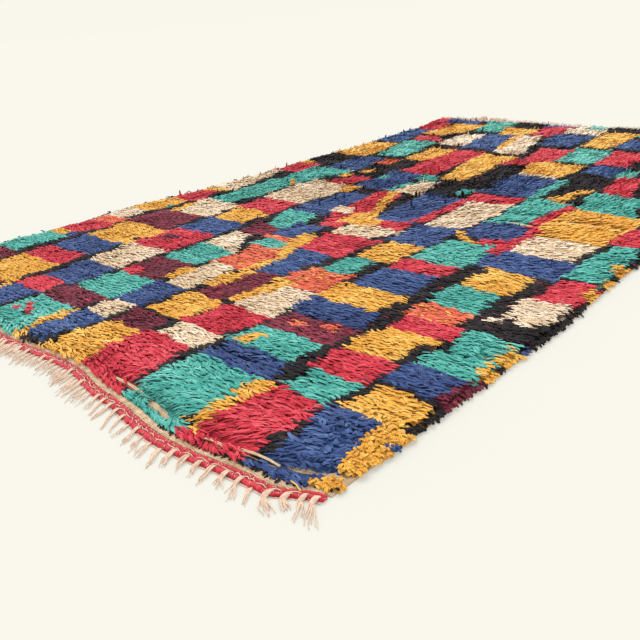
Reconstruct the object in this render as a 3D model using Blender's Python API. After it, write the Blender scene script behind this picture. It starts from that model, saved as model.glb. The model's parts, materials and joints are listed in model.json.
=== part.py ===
"""A hand-knotted wool rug that lies on the floor: shaggy pile, one red end band, two fringes.

All sizes are metres. In the woven plan x runs across the rug from its left edge, and y runs along it
from the outer edge of the red band. lay() carries a point of that plan to where the cloth lies.
"""

import math

import bmesh
import bpy
import numpy as np

# Driving sizes of the weave
RUG_WIDTH = 1.50
PILE_END = 2.385
BAND_WIDTH = 0.020
HEM_WIDTH = 0.012
SELVEDGE_WIDTH = 0.003
CLOTH_THICKNESS = 0.003
PILE_HEIGHT = 0.021
PIECE_GAP = 0.0003

# The pile is worn low beside the band and stands a little taller in the far half
WORN_SHARE = 0.72
WORN_REACH = 0.060
TALLER_FAR = 0.003
TALLER_FROM = 0.90
TALLER_REACH = 1.20

# The cloth's own near and far edges, the steps of its edges, and those of the pile's top
CLOTH_NEAR = BAND_WIDTH + PIECE_GAP
CLOTH_FAR = PILE_END + HEM_WIDTH
STEPS_ACROSS = 30
STEPS_ALONG = 46
TOP_STEPS_ACROSS = 44
TOP_STEPS_ALONG = 70

# How far the four edges stray from straight: (place along the edge, stray), where the stray of the
# near and far edges is along +y and that of the left and right edges along +x
NEAR_EDGE = [
    (0.00, 0.010),
    (0.30, -0.004),
    (0.62, 0.004),
    (0.88, 0.021),
    (1.02, 0.000),
    (1.22, -0.022),
    (1.42, -0.002),
    (1.50, 0.030),
]
FAR_EDGE = [
    (0.00, -0.004),
    (0.14, 0.018),
    (0.40, 0.014),
    (0.74, -0.028),
    (1.05, 0.006),
    (1.50, 0.000),
]
LEFT_EDGE = [
    (0.00, -0.012),
    (0.36, -0.036),
    (0.52, -0.010),
    (0.72, -0.032),
    (1.06, 0.014),
    (1.80, 0.020),
    (2.12, 0.002),
    (2.40, -0.022),
]
RIGHT_EDGE = [
    (0.00, -0.004),
    (0.60, -0.006),
    (0.92, -0.026),
    (1.40, -0.010),
    (2.00, 0.004),
    (2.40, -0.006),
]
END_WAVE_REACH = 0.50
SIDE_WAVE_REACH = 0.40

# Soft ripples across the cloth: (left end, right end, crest, height, half width), and the length over
# which each one runs out
RIPPLES = [
    (1.02, 1.42, 1.085, 0.009, 0.040),
    (0.98, 1.44, 1.185, 0.008, 0.040),
    (0.30, 0.62, 0.820, 0.004, 0.060),
    (0.60, 0.98, 1.620, 0.005, 0.070),
]
RIPPLE_RUN_OUT = 0.10

# Lumps of the pile: (size of a lump, height)
LUMPS = [
    (0.360, 0.0028),
    (0.095, 0.0040),
    (0.050, 0.0026),
]
KNOT_JITTER = 0.0016

# Locks at the rim of the pile, and how the pile rounds off towards it
RIM_OVERHANG = 0.003
SHOULDER_INSET = 0.013
SHOULDER_FULLNESS = 0.82
PLATEAU_INSET = 0.040
LOCK_REACH_LEFT = 0.018
LOCK_REACH_RIGHT = 0.010
LOCK_REACH_END = 0.007
LOCK_TIP_HEIGHT = 0.0070
LOCK_ROOT_HEIGHT = 0.0090
LOCK_HEIGHT_SPREAD = 0.0010
LOCK_REACH_SPREAD = (0.40, 1.00)
LOCK_SLIDE = 0.10

# Fringe strands: (place along the edge, length, lean to the right in degrees, distance to the next,
# how far single strands stray from the lean in degrees)
NEAR_STRANDS = [
    (0.00, 0.044, 18.0, 0.0138, 3.0),
    (0.60, 0.046, 26.0, 0.0136, 3.0),
    (0.92, 0.038, 29.0, 0.0138, 3.0),
    (1.07, 0.032, 26.0, 0.0240, 7.0),
    (1.40, 0.034, 28.0, 0.0250, 8.0),
    (1.50, 0.046, 38.0, 0.0150, 4.0),
]
FAR_STRANDS = [
    (0.00, 0.048, -14.0, 0.0300, 3.0),
    (0.40, 0.052, -4.0, 0.0320, 3.0),
    (0.90, 0.046, 3.0, 0.0320, 3.0),
    (1.50, 0.048, 10.0, 0.0320, 3.0),
]
STRAND_WIDTH = 0.0072
STRAND_TIP_WIDTH = 0.0032
STRAND_HEIGHT = 0.0036
STRAND_TIP_FLATNESS = 0.35
STRAND_PARTS = 3
STRAND_BEND = 9.0
STRAND_LENGTH_SPREAD = (0.70, 1.25)
STRAND_PLACE_SPREAD = 0.0015
KNOTTED_EDGE_WIDTH = 0.006

# Red band's section from its inner to its outer edge: (share of its width, height)
BAND_SECTION = [
    (0.00, 0.0000),
    (0.00, 0.0036),
    (0.14, 0.0058),
    (0.38, 0.0060),
    (0.50, 0.0044),
    (0.62, 0.0060),
    (0.86, 0.0056),
    (1.00, 0.0030),
    (1.00, 0.0000),
]
BAND_END_ROUNDING = 0.014
BAND_END_STEPS = [0.12, 0.35, 0.65]
BAND_END_WIDTH = 0.30
BAND_END_HEIGHT = 0.60

# Colour, roughness and metallic value of each finish
FINISHES = {
    "pile_wool": ((0.55, 0.20, 0.16), 0.95, 0.0),
    "band_wool": ((0.60, 0.05, 0.07), 0.90, 0.0),
    "warp_wool": ((0.74, 0.58, 0.46), 0.92, 0.0),
}


def clear_scene():
    for thing in list(bpy.data.objects):
        bpy.data.objects.remove(thing, do_unlink=True)


def ease(share):
    """Smooth step from 0 to 1."""
    share = min(max(share, 0.0), 1.0)
    return share * share * (3.0 - 2.0 * share)


def read_table(table, place, column=1):
    """The value of a column at a place, eased from row to row."""
    if place <= table[0][0]:
        return table[0][column]
    for before, after in zip(table, table[1:]):
        if place <= after[0]:
            share = ease((place - before[0]) / (after[0] - before[0]))
            return before[column] + share * (after[column] - before[column])
    return table[-1][column]


def fade(distance, reach):
    """Share of an edge's stray that is left at a distance from that edge."""
    return (1.0 - min(max(distance / reach, 0.0), 1.0)) ** 2


def lay(x, y):
    """Where a point of the woven plan lies on the floor."""
    stray_x = (read_table(LEFT_EDGE, y) * fade(x, SIDE_WAVE_REACH)
               + read_table(RIGHT_EDGE, y) * fade(RUG_WIDTH - x, SIDE_WAVE_REACH))
    stray_y = (read_table(NEAR_EDGE, x) * fade(y, END_WAVE_REACH)
               + read_table(FAR_EDGE, x) * fade(PILE_END - y, END_WAVE_REACH))
    return x + stray_x, y + stray_y


def lay_straight(x, y):
    """Where a point by an end of the rug lies if the cloth is straight between the steps of its edge."""
    place = x * STEPS_ACROSS / RUG_WIDTH
    k = min(max(int(place), 0), STEPS_ACROSS - 1)
    before = lay(k * RUG_WIDTH / STEPS_ACROSS, y)
    after = lay((k + 1) * RUG_WIDTH / STEPS_ACROSS, y)
    return [a + (b - a) * (place - k) for a, b in zip(before, after)]


class Unevenness:
    """Smooth bumps between -1 and 1 that repeat for the same seed."""

    def __init__(self, seed, size):
        self.size = size
        self.cells = np.random.RandomState(seed).uniform(-1.0, 1.0, (96, 96))

    def at(self, x, y):
        column = x / self.size + 8.0
        row = y / self.size + 8.0
        i, j = int(math.floor(column)), int(math.floor(row))
        u, v = ease(column - i), ease(row - j)
        near = self.cells[j % 96, i % 96] * (1 - u) + self.cells[j % 96, (i + 1) % 96] * u
        far = self.cells[(j + 1) % 96, i % 96] * (1 - u) + self.cells[(j + 1) % 96, (i + 1) % 96] * u
        return near * (1 - v) + far * v


LUMP_FIELDS = [(Unevenness(11 + k, size), height) for k, (size, height) in enumerate(LUMPS)]


def ripple_height(x, y):
    """How much the ripples lift the cloth at a point of the plan."""
    lift = 0.0
    for left, right, crest, height, half_width in RIPPLES:
        across = ease((x - left) / RIPPLE_RUN_OUT) * ease((right - x) / RIPPLE_RUN_OUT)
        lift += height * across * math.exp(-((y - crest) / half_width) ** 2)
    return lift


def pile_top(x, y):
    """Height of the pile at a point of the plan."""
    lumps = sum(height * field.at(x, y) for field, height in LUMP_FIELDS)
    taller = TALLER_FAR * ease((y - TALLER_FROM) / TALLER_REACH)
    from_foot = (y - CLOTH_NEAR - HEM_WIDTH) / WORN_REACH
    fullness = WORN_SHARE + (1.0 - WORN_SHARE) * ease(from_foot)
    return fullness * (PILE_HEIGHT + taller + lumps) + ripple_height(x, y)


def zip_chains(bm, first, second):
    """Triangles between two chains of (place, vertex) that run the same way."""
    i = j = 0
    while i < len(first) - 1 or j < len(second) - 1:
        step_first = j == len(second) - 1 or (i < len(first) - 1 and first[i + 1][0] <= second[j + 1][0])
        corners = [first[i][1], second[j][1]]
        if step_first:
            i += 1
            corners.append(first[i][1])
        else:
            j += 1
            corners.append(second[j][1])
        bm.faces.new(corners)


def edge_places(start, end, steps):
    return [start + (end - start) * k / steps for k in range(steps + 1)]


def ring_plan(side_inset, end_inset):
    """Plan points of one ring around the cloth, and the way out of the rug at each step that follows."""
    left, right = side_inset, RUG_WIDTH - side_inset
    near, far = CLOTH_NEAR + end_inset, CLOTH_FAR - end_inset
    xs = edge_places(left, right, STEPS_ACROSS)
    ys = edge_places(near, far, STEPS_ALONG)
    points = [(x, near, 0.0, -1.0) for x in xs[:-1]]
    points += [(right, y, 1.0, 0.0) for y in ys[:-1]]
    points += [(x, far, 0.0, 1.0) for x in xs[:0:-1]]
    points += [(left, y, -1.0, 0.0) for y in ys[:0:-1]]
    return points


def add_ring(bm, side_inset, end_inset, height):
    """One ring of vertices; height is a number or a function of the plan."""
    ring = []
    for k, (x, y, _, _) in enumerate(ring_plan(side_inset, end_inset)):
        z = height(x, y) if callable(height) else height
        ring.append((float(k), bm.verts.new((*lay(x, y), z))))
    return ring


def closed(ring, count):
    """The ring with its first vertex repeated at the end."""
    return ring + [(float(count), ring[0][1])]


def add_lock_ring(bm, rng):
    """The pile's outer rim: a notch at each station, and one drooping lock between two stations."""
    plan = ring_plan(-RIM_OVERHANG, HEM_WIDTH - RIM_OVERHANG)
    ring = []
    for k, (x, y, out_x, out_y) in enumerate(plan):
        next_x, next_y = plan[(k + 1) % len(plan)][:2]
        notch = LOCK_ROOT_HEIGHT + rng.uniform(-LOCK_HEIGHT_SPREAD, LOCK_HEIGHT_SPREAD)
        ring.append((float(k), bm.verts.new((*lay(x, y), notch))))
        side_reach = LOCK_REACH_RIGHT if out_x > 0 else LOCK_REACH_LEFT
        reach = (side_reach if out_x else LOCK_REACH_END) * rng.uniform(*LOCK_REACH_SPREAD)
        slide = rng.uniform(-LOCK_SLIDE, LOCK_SLIDE)
        droop = rng.uniform(-LOCK_HEIGHT_SPREAD, LOCK_HEIGHT_SPREAD)
        for share, out_share, z in (
            (0.20, 0.30, LOCK_ROOT_HEIGHT),
            (0.50 + slide, 1.00, LOCK_TIP_HEIGHT + droop),
            (0.80, 0.34, LOCK_ROOT_HEIGHT),
        ):
            px = x + (next_x - x) * share + out_x * reach * out_share
            py = y + (next_y - y) * share + out_y * reach * out_share
            ring.append((k + share, bm.verts.new((*lay(px, py), z))))
    return ring


def build_rug():
    """Ground cloth with a flat underside, a thin hem all round and the lumpy pile on it."""
    bm = bmesh.new()
    rng = np.random.RandomState(7)
    underside = add_ring(bm, 0.0, 0.0, 0.0)
    cloth_edge = add_ring(bm, 0.0, 0.0, CLOTH_THICKNESS)
    pile_foot = add_ring(bm, SELVEDGE_WIDTH, HEM_WIDTH, CLOTH_THICKNESS)
    rim = add_lock_ring(bm, rng)
    shoulder = add_ring(bm, SHOULDER_INSET, HEM_WIDTH + SHOULDER_INSET,
                        lambda x, y: SHOULDER_FULLNESS * pile_top(x, y))
    count = len(underside)

    end_inset = HEM_WIDTH + PLATEAU_INSET
    xs = edge_places(PLATEAU_INSET, RUG_WIDTH - PLATEAU_INSET, TOP_STEPS_ACROSS)
    ys = edge_places(CLOTH_NEAR + end_inset, CLOTH_FAR - end_inset, TOP_STEPS_ALONG)
    grid = [[bm.verts.new((*lay(x, y), pile_top(x, y) + rng.uniform(-KNOT_JITTER, KNOT_JITTER)))
             for x in xs] for y in ys]
    sides = (
        (grid[0][:-1], STEPS_ACROSS),
        ([row[-1] for row in grid[:-1]], STEPS_ALONG),
        (grid[-1][:0:-1], STEPS_ACROSS),
        ([row[0] for row in grid[:0:-1]], STEPS_ALONG),
    )
    plateau = []
    start = 0
    for side, steps in sides:
        plateau += [(start + k * steps / len(side), vert) for k, vert in enumerate(side)]
        start += steps

    rings = [underside, cloth_edge, pile_foot, rim, shoulder, plateau]
    for lower, upper in zip(rings, rings[1:]):
        zip_chains(bm, closed(lower, count), closed(upper, count))
    for j in range(TOP_STEPS_ALONG):
        for i in range(TOP_STEPS_ACROSS):
            bm.faces.new((grid[j][i], grid[j][i + 1], grid[j + 1][i + 1], grid[j + 1][i]))
    bm.faces.new([vert for _, vert in underside])
    return bm


def build_near_end_band():
    """The red band: two soft ridges side by side, with rounded ends, along the cloth's near edge."""
    bm = bmesh.new()
    places = []
    for k in range(STEPS_ACROSS + 1):
        places.append(float(k))
        if k in (0, STEPS_ACROSS - 1):
            places += [k + share for share in BAND_END_STEPS]

    sections = []
    for place in places:
        x = place * RUG_WIDTH / STEPS_ACROSS
        run_in = min(x, RUG_WIDTH - x)
        inner, outer = lay_straight(x, BAND_WIDTH), lay_straight(x, 0.0)
        turn = min(run_in / BAND_END_ROUNDING, 1.0)
        fullness = max(math.sqrt(1.0 - (1.0 - turn) ** 2), BAND_END_WIDTH)
        height_share = BAND_END_HEIGHT + (1.0 - BAND_END_HEIGHT) * fullness
        ring = []
        for across, height in BAND_SECTION:
            across = 0.5 + (across - 0.5) * fullness
            corner = [a + (b - a) * across for a, b in zip(inner, outer)]
            ring.append(bm.verts.new((*corner, height * height_share)))
        sections.append(ring)

    points = len(BAND_SECTION)
    for before, after in zip(sections, sections[1:]):
        for k in range(points):
            m = (k + 1) % points
            bm.faces.new((before[k], before[m], after[m], after[k]))
    bm.faces.new(sections[0])
    bm.faces.new(sections[-1])
    return bm


def strand_path(x, edge_y, way, length, lean, stray, rng):
    """Plan points of a strand, from its root outwards along the floor."""
    bend = rng.uniform(-STRAND_BEND, STRAND_BEND)
    heading = lean + rng.uniform(-stray, stray)
    step = length / STRAND_PARTS
    path = [(x, edge_y)]
    for k in range(STRAND_PARTS):
        angle = math.radians(heading + bend * k / (STRAND_PARTS - 1))
        last_x, last_y = path[-1]
        path.append((last_x + step * math.sin(angle), last_y + way * step * math.cos(angle)))
    return path


def strand_places(strands):
    """Where the strands stand along the edge, a little inside both ends."""
    places = [0.5 * strands[0][3]]
    while places[-1] < RUG_WIDTH - strands[-1][3]:
        places.append(places[-1] + read_table(strands, places[-1], 3))
    stretch = (RUG_WIDTH - 0.5 * strands[-1][3]) / places[-1]
    return [place * stretch for place in places]


def build_fringe(edge_y, way, strands, seed):
    """A narrow knotted edge with the strands fused to its outer side; way is -1 near, 1 far."""
    bm = bmesh.new()
    rng = np.random.RandomState(seed)
    outer_y = edge_y + way * KNOTTED_EDGE_WIDTH
    top = STRAND_HEIGHT
    stations = edge_places(0.0, RUG_WIDTH, STEPS_ACROSS)
    inner_top = [(x, bm.verts.new((*lay_straight(x, edge_y), top))) for x in stations]
    inner_bottom = [(x, bm.verts.new((*lay_straight(x, edge_y), 0.0))) for x in stations]
    outer_top = [(0.0, bm.verts.new((*lay_straight(0.0, outer_y), top)))]
    outer_bottom = [(0.0, bm.verts.new((*lay_straight(0.0, outer_y), 0.0)))]

    gap_top = [outer_top[0]]
    gap_bottom = [outer_bottom[0]]
    for place in strand_places(strands):
        x = place + rng.uniform(-STRAND_PLACE_SPREAD, STRAND_PLACE_SPREAD)
        length = read_table(strands, x, 1) * rng.uniform(*STRAND_LENGTH_SPREAD)
        lean, stray = read_table(strands, x, 2), read_table(strands, x, 4)
        path = strand_path(x, outer_y, way, length, lean, stray, rng)
        rings = []
        for n, (px, py) in enumerate(path):
            share = n / (len(path) - 1)
            half = 0.5 * (STRAND_WIDTH + (STRAND_TIP_WIDTH - STRAND_WIDTH) * share)
            height = top * (1.0 - STRAND_TIP_FLATNESS * share)
            rings.append([
                bm.verts.new((*lay_straight(px - half, py), 0.0)),
                bm.verts.new((*lay_straight(px + half, py), 0.0)),
                bm.verts.new((*lay_straight(px, py), height)),
            ])
        left, right, apex = rings[0]
        half = 0.5 * STRAND_WIDTH
        zip_chains(bm, gap_top + [(x, apex)], gap_bottom + [(x - half, left)])
        gap_top, gap_bottom = [(x, apex)], [(x + half, right)]
        outer_top.append((x, apex))
        outer_bottom += [(x - half, left), (x + half, right)]
        for before, after in zip(rings, rings[1:]):
            for a, b in ((0, 1), (1, 2), (2, 0)):
                bm.faces.new((before[a], before[b], after[b], after[a]))
        bm.faces.new(rings[-1])

    outer_top.append((RUG_WIDTH, bm.verts.new((*lay_straight(RUG_WIDTH, outer_y), top))))
    outer_bottom.append((RUG_WIDTH, bm.verts.new((*lay_straight(RUG_WIDTH, outer_y), 0.0))))
    zip_chains(bm, gap_top + outer_top[-1:], gap_bottom + outer_bottom[-1:])
    zip_chains(bm, inner_top, outer_top)
    zip_chains(bm, inner_bottom, outer_bottom)
    zip_chains(bm, inner_bottom, inner_top)
    for end in (0, -1):
        bm.faces.new((inner_bottom[end][1], inner_top[end][1], outer_top[end][1], outer_bottom[end][1]))
    return bm


def make_material(name):
    colour, roughness, metallic = FINISHES[name]
    material = bpy.data.materials.new(name)
    material.use_nodes = True
    shader = material.node_tree.nodes["Principled BSDF"]
    shader.inputs["Base Color"].default_value = (*colour, 1.0)
    shader.inputs["Roughness"].default_value = roughness
    shader.inputs["Metallic"].default_value = metallic
    material.diffuse_color = (*colour, 1.0)
    return material


def plan_centre(pieces):
    """Middle of the box around all the pieces, seen from above."""
    points = np.array([vert.co[:2] for bm, _ in pieces.values() for vert in bm.verts])
    return (points.min(axis=0) + points.max(axis=0)) / 2.0


def make_object(name, bm, material, centre, parent):
    """The piece as an object that stands on the floor at the middle of its own box."""
    bmesh.ops.recalc_face_normals(bm, faces=bm.faces)
    points = np.array([vert.co[:2] for vert in bm.verts])
    middle = (points.min(axis=0) + points.max(axis=0)) / 2.0
    bmesh.ops.translate(bm, verts=bm.verts, vec=(-middle[0], -middle[1], 0.0))
    mesh = bpy.data.meshes.new(name)
    bm.to_mesh(mesh)
    bm.free()
    mesh.materials.append(material)
    piece = bpy.data.objects.new(name, mesh)
    piece.location = (middle[0] - centre[0], middle[1] - centre[1], 0.0)
    piece.parent = parent
    bpy.context.scene.collection.objects.link(piece)


def main():
    clear_scene()
    strip_near = -PIECE_GAP
    strip_far = CLOTH_FAR + PIECE_GAP
    pieces = {
        "rug": (build_rug(), "pile_wool"),
        "near_end_band": (build_near_end_band(), "band_wool"),
        "near_fringe": (build_fringe(strip_near, -1, NEAR_STRANDS, 21), "warp_wool"),
        "far_fringe": (build_fringe(strip_far, 1, FAR_STRANDS, 22), "warp_wool"),
    }
    centre = plan_centre(pieces)
    whole = bpy.data.objects.new("azilal_rug", None)
    bpy.context.scene.collection.objects.link(whole)
    materials = {finish: make_material(finish) for finish in FINISHES}
    for name, (bm, finish) in pieces.items():
        make_object(name, bm, materials[finish], centre, whole)


main()
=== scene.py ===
"""The rug's looks: woven ground, pile of knotted wool in eight yarns, red end band and two fringes.

All sizes are metres. In the woven plan x runs across the rug from its left edge, and y runs along it
from the outer edge of the red band. lay() carries a point of that plan to where the cloth lies.
"""

import json
import math
from collections import namedtuple

import bpy
import numpy as np
from mathutils import Matrix, Vector
from mathutils.bvhtree import BVHTree

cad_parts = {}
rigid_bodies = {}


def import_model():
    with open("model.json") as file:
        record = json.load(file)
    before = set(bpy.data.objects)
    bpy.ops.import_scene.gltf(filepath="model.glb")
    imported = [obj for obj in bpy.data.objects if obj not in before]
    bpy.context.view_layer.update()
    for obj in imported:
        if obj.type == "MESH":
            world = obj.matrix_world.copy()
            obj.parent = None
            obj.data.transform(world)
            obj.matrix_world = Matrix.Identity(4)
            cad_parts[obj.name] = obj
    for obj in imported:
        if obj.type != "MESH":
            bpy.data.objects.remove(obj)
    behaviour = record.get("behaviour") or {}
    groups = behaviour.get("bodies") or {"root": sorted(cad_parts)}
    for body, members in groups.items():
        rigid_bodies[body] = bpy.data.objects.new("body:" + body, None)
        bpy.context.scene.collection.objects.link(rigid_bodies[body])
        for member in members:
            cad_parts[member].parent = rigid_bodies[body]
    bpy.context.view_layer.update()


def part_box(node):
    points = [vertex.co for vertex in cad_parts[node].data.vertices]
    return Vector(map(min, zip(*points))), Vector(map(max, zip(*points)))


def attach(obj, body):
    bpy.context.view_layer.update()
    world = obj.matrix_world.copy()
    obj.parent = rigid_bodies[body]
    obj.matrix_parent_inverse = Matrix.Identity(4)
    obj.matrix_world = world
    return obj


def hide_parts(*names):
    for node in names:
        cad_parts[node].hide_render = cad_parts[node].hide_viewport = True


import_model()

# Driving sizes of the weave
RUG_WIDTH = 1.50
PILE_END = 2.385
BAND_WIDTH = 0.020
HEM_WIDTH = 0.012
SELVEDGE_WIDTH = 0.003
CLOTH_THICKNESS = 0.003
PIECE_GAP = 0.0003
CLOTH_NEAR = BAND_WIDTH + PIECE_GAP
CLOTH_FAR = PILE_END + HEM_WIDTH
PILE_NEAR = CLOTH_NEAR + HEM_WIDTH
EDGE_STEPS = 30

# How far the four edges stray from straight: (place along the edge, stray), where the stray of the
# near and far edges is along +y and that of the left and right edges along +x
NEAR_EDGE = [
    (0.00, 0.010),
    (0.30, -0.004),
    (0.62, 0.004),
    (0.88, 0.021),
    (1.02, 0.000),
    (1.22, -0.022),
    (1.42, -0.002),
    (1.50, 0.030),
]
FAR_EDGE = [
    (0.00, -0.004),
    (0.14, 0.018),
    (0.40, 0.014),
    (0.74, -0.028),
    (1.05, 0.006),
    (1.50, 0.000),
]
LEFT_EDGE = [
    (0.00, -0.012),
    (0.36, -0.036),
    (0.52, -0.010),
    (0.72, -0.032),
    (1.06, 0.014),
    (1.80, 0.020),
    (2.12, 0.002),
    (2.40, -0.022),
]
RIGHT_EDGE = [
    (0.00, -0.004),
    (0.60, -0.006),
    (0.92, -0.026),
    (1.40, -0.010),
    (2.00, 0.004),
    (2.40, -0.006),
]
END_WAVE_REACH = 0.50
SIDE_WAVE_REACH = 0.40

# Soft ripples across the cloth: (left end, right end, crest, height, half width), and the length over
# which each one runs out
RIPPLES = [
    (1.02, 1.42, 1.085, 0.009, 0.040),
    (0.98, 1.44, 1.185, 0.008, 0.040),
    (0.30, 0.62, 0.820, 0.004, 0.060),
    (0.60, 0.98, 1.620, 0.005, 0.070),
]
RIPPLE_RUN_OUT = 0.10

# Yarns as they look in daylight, 0 to 255: (darkest lock, usual lock, palest lock)
YARNS = {
    "red": ((138, 14, 34), (198, 40, 58), (228, 94, 102)),
    "navy": ((26, 38, 80), (47, 70, 121), (90, 117, 164)),
    "teal": ((30, 110, 102), (70, 164, 150), (128, 204, 190)),
    "gold": ((180, 111, 26), (224, 162, 59), (247, 205, 113)),
    "black": ((14, 12, 13), (25, 20, 22), (54, 44, 44)),
    "cream": ((184, 152, 114), (217, 190, 156), (255, 242, 222)),
    "wine": ((62, 10, 28), (108, 28, 48), (156, 58, 74)),
    "coral": ((176, 62, 40), (216, 94, 66), (240, 142, 108)),
}
SHEEN = {"black": 0.03}

# Odd locks of a second yarn among those of the first: (yarn, odd yarn, share of the locks)
MIXED_IN = [
    ("wine", "red", 0.012),
    ("coral", "gold", 0.08),
    ("black", "wine", 0.015),
]

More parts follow.
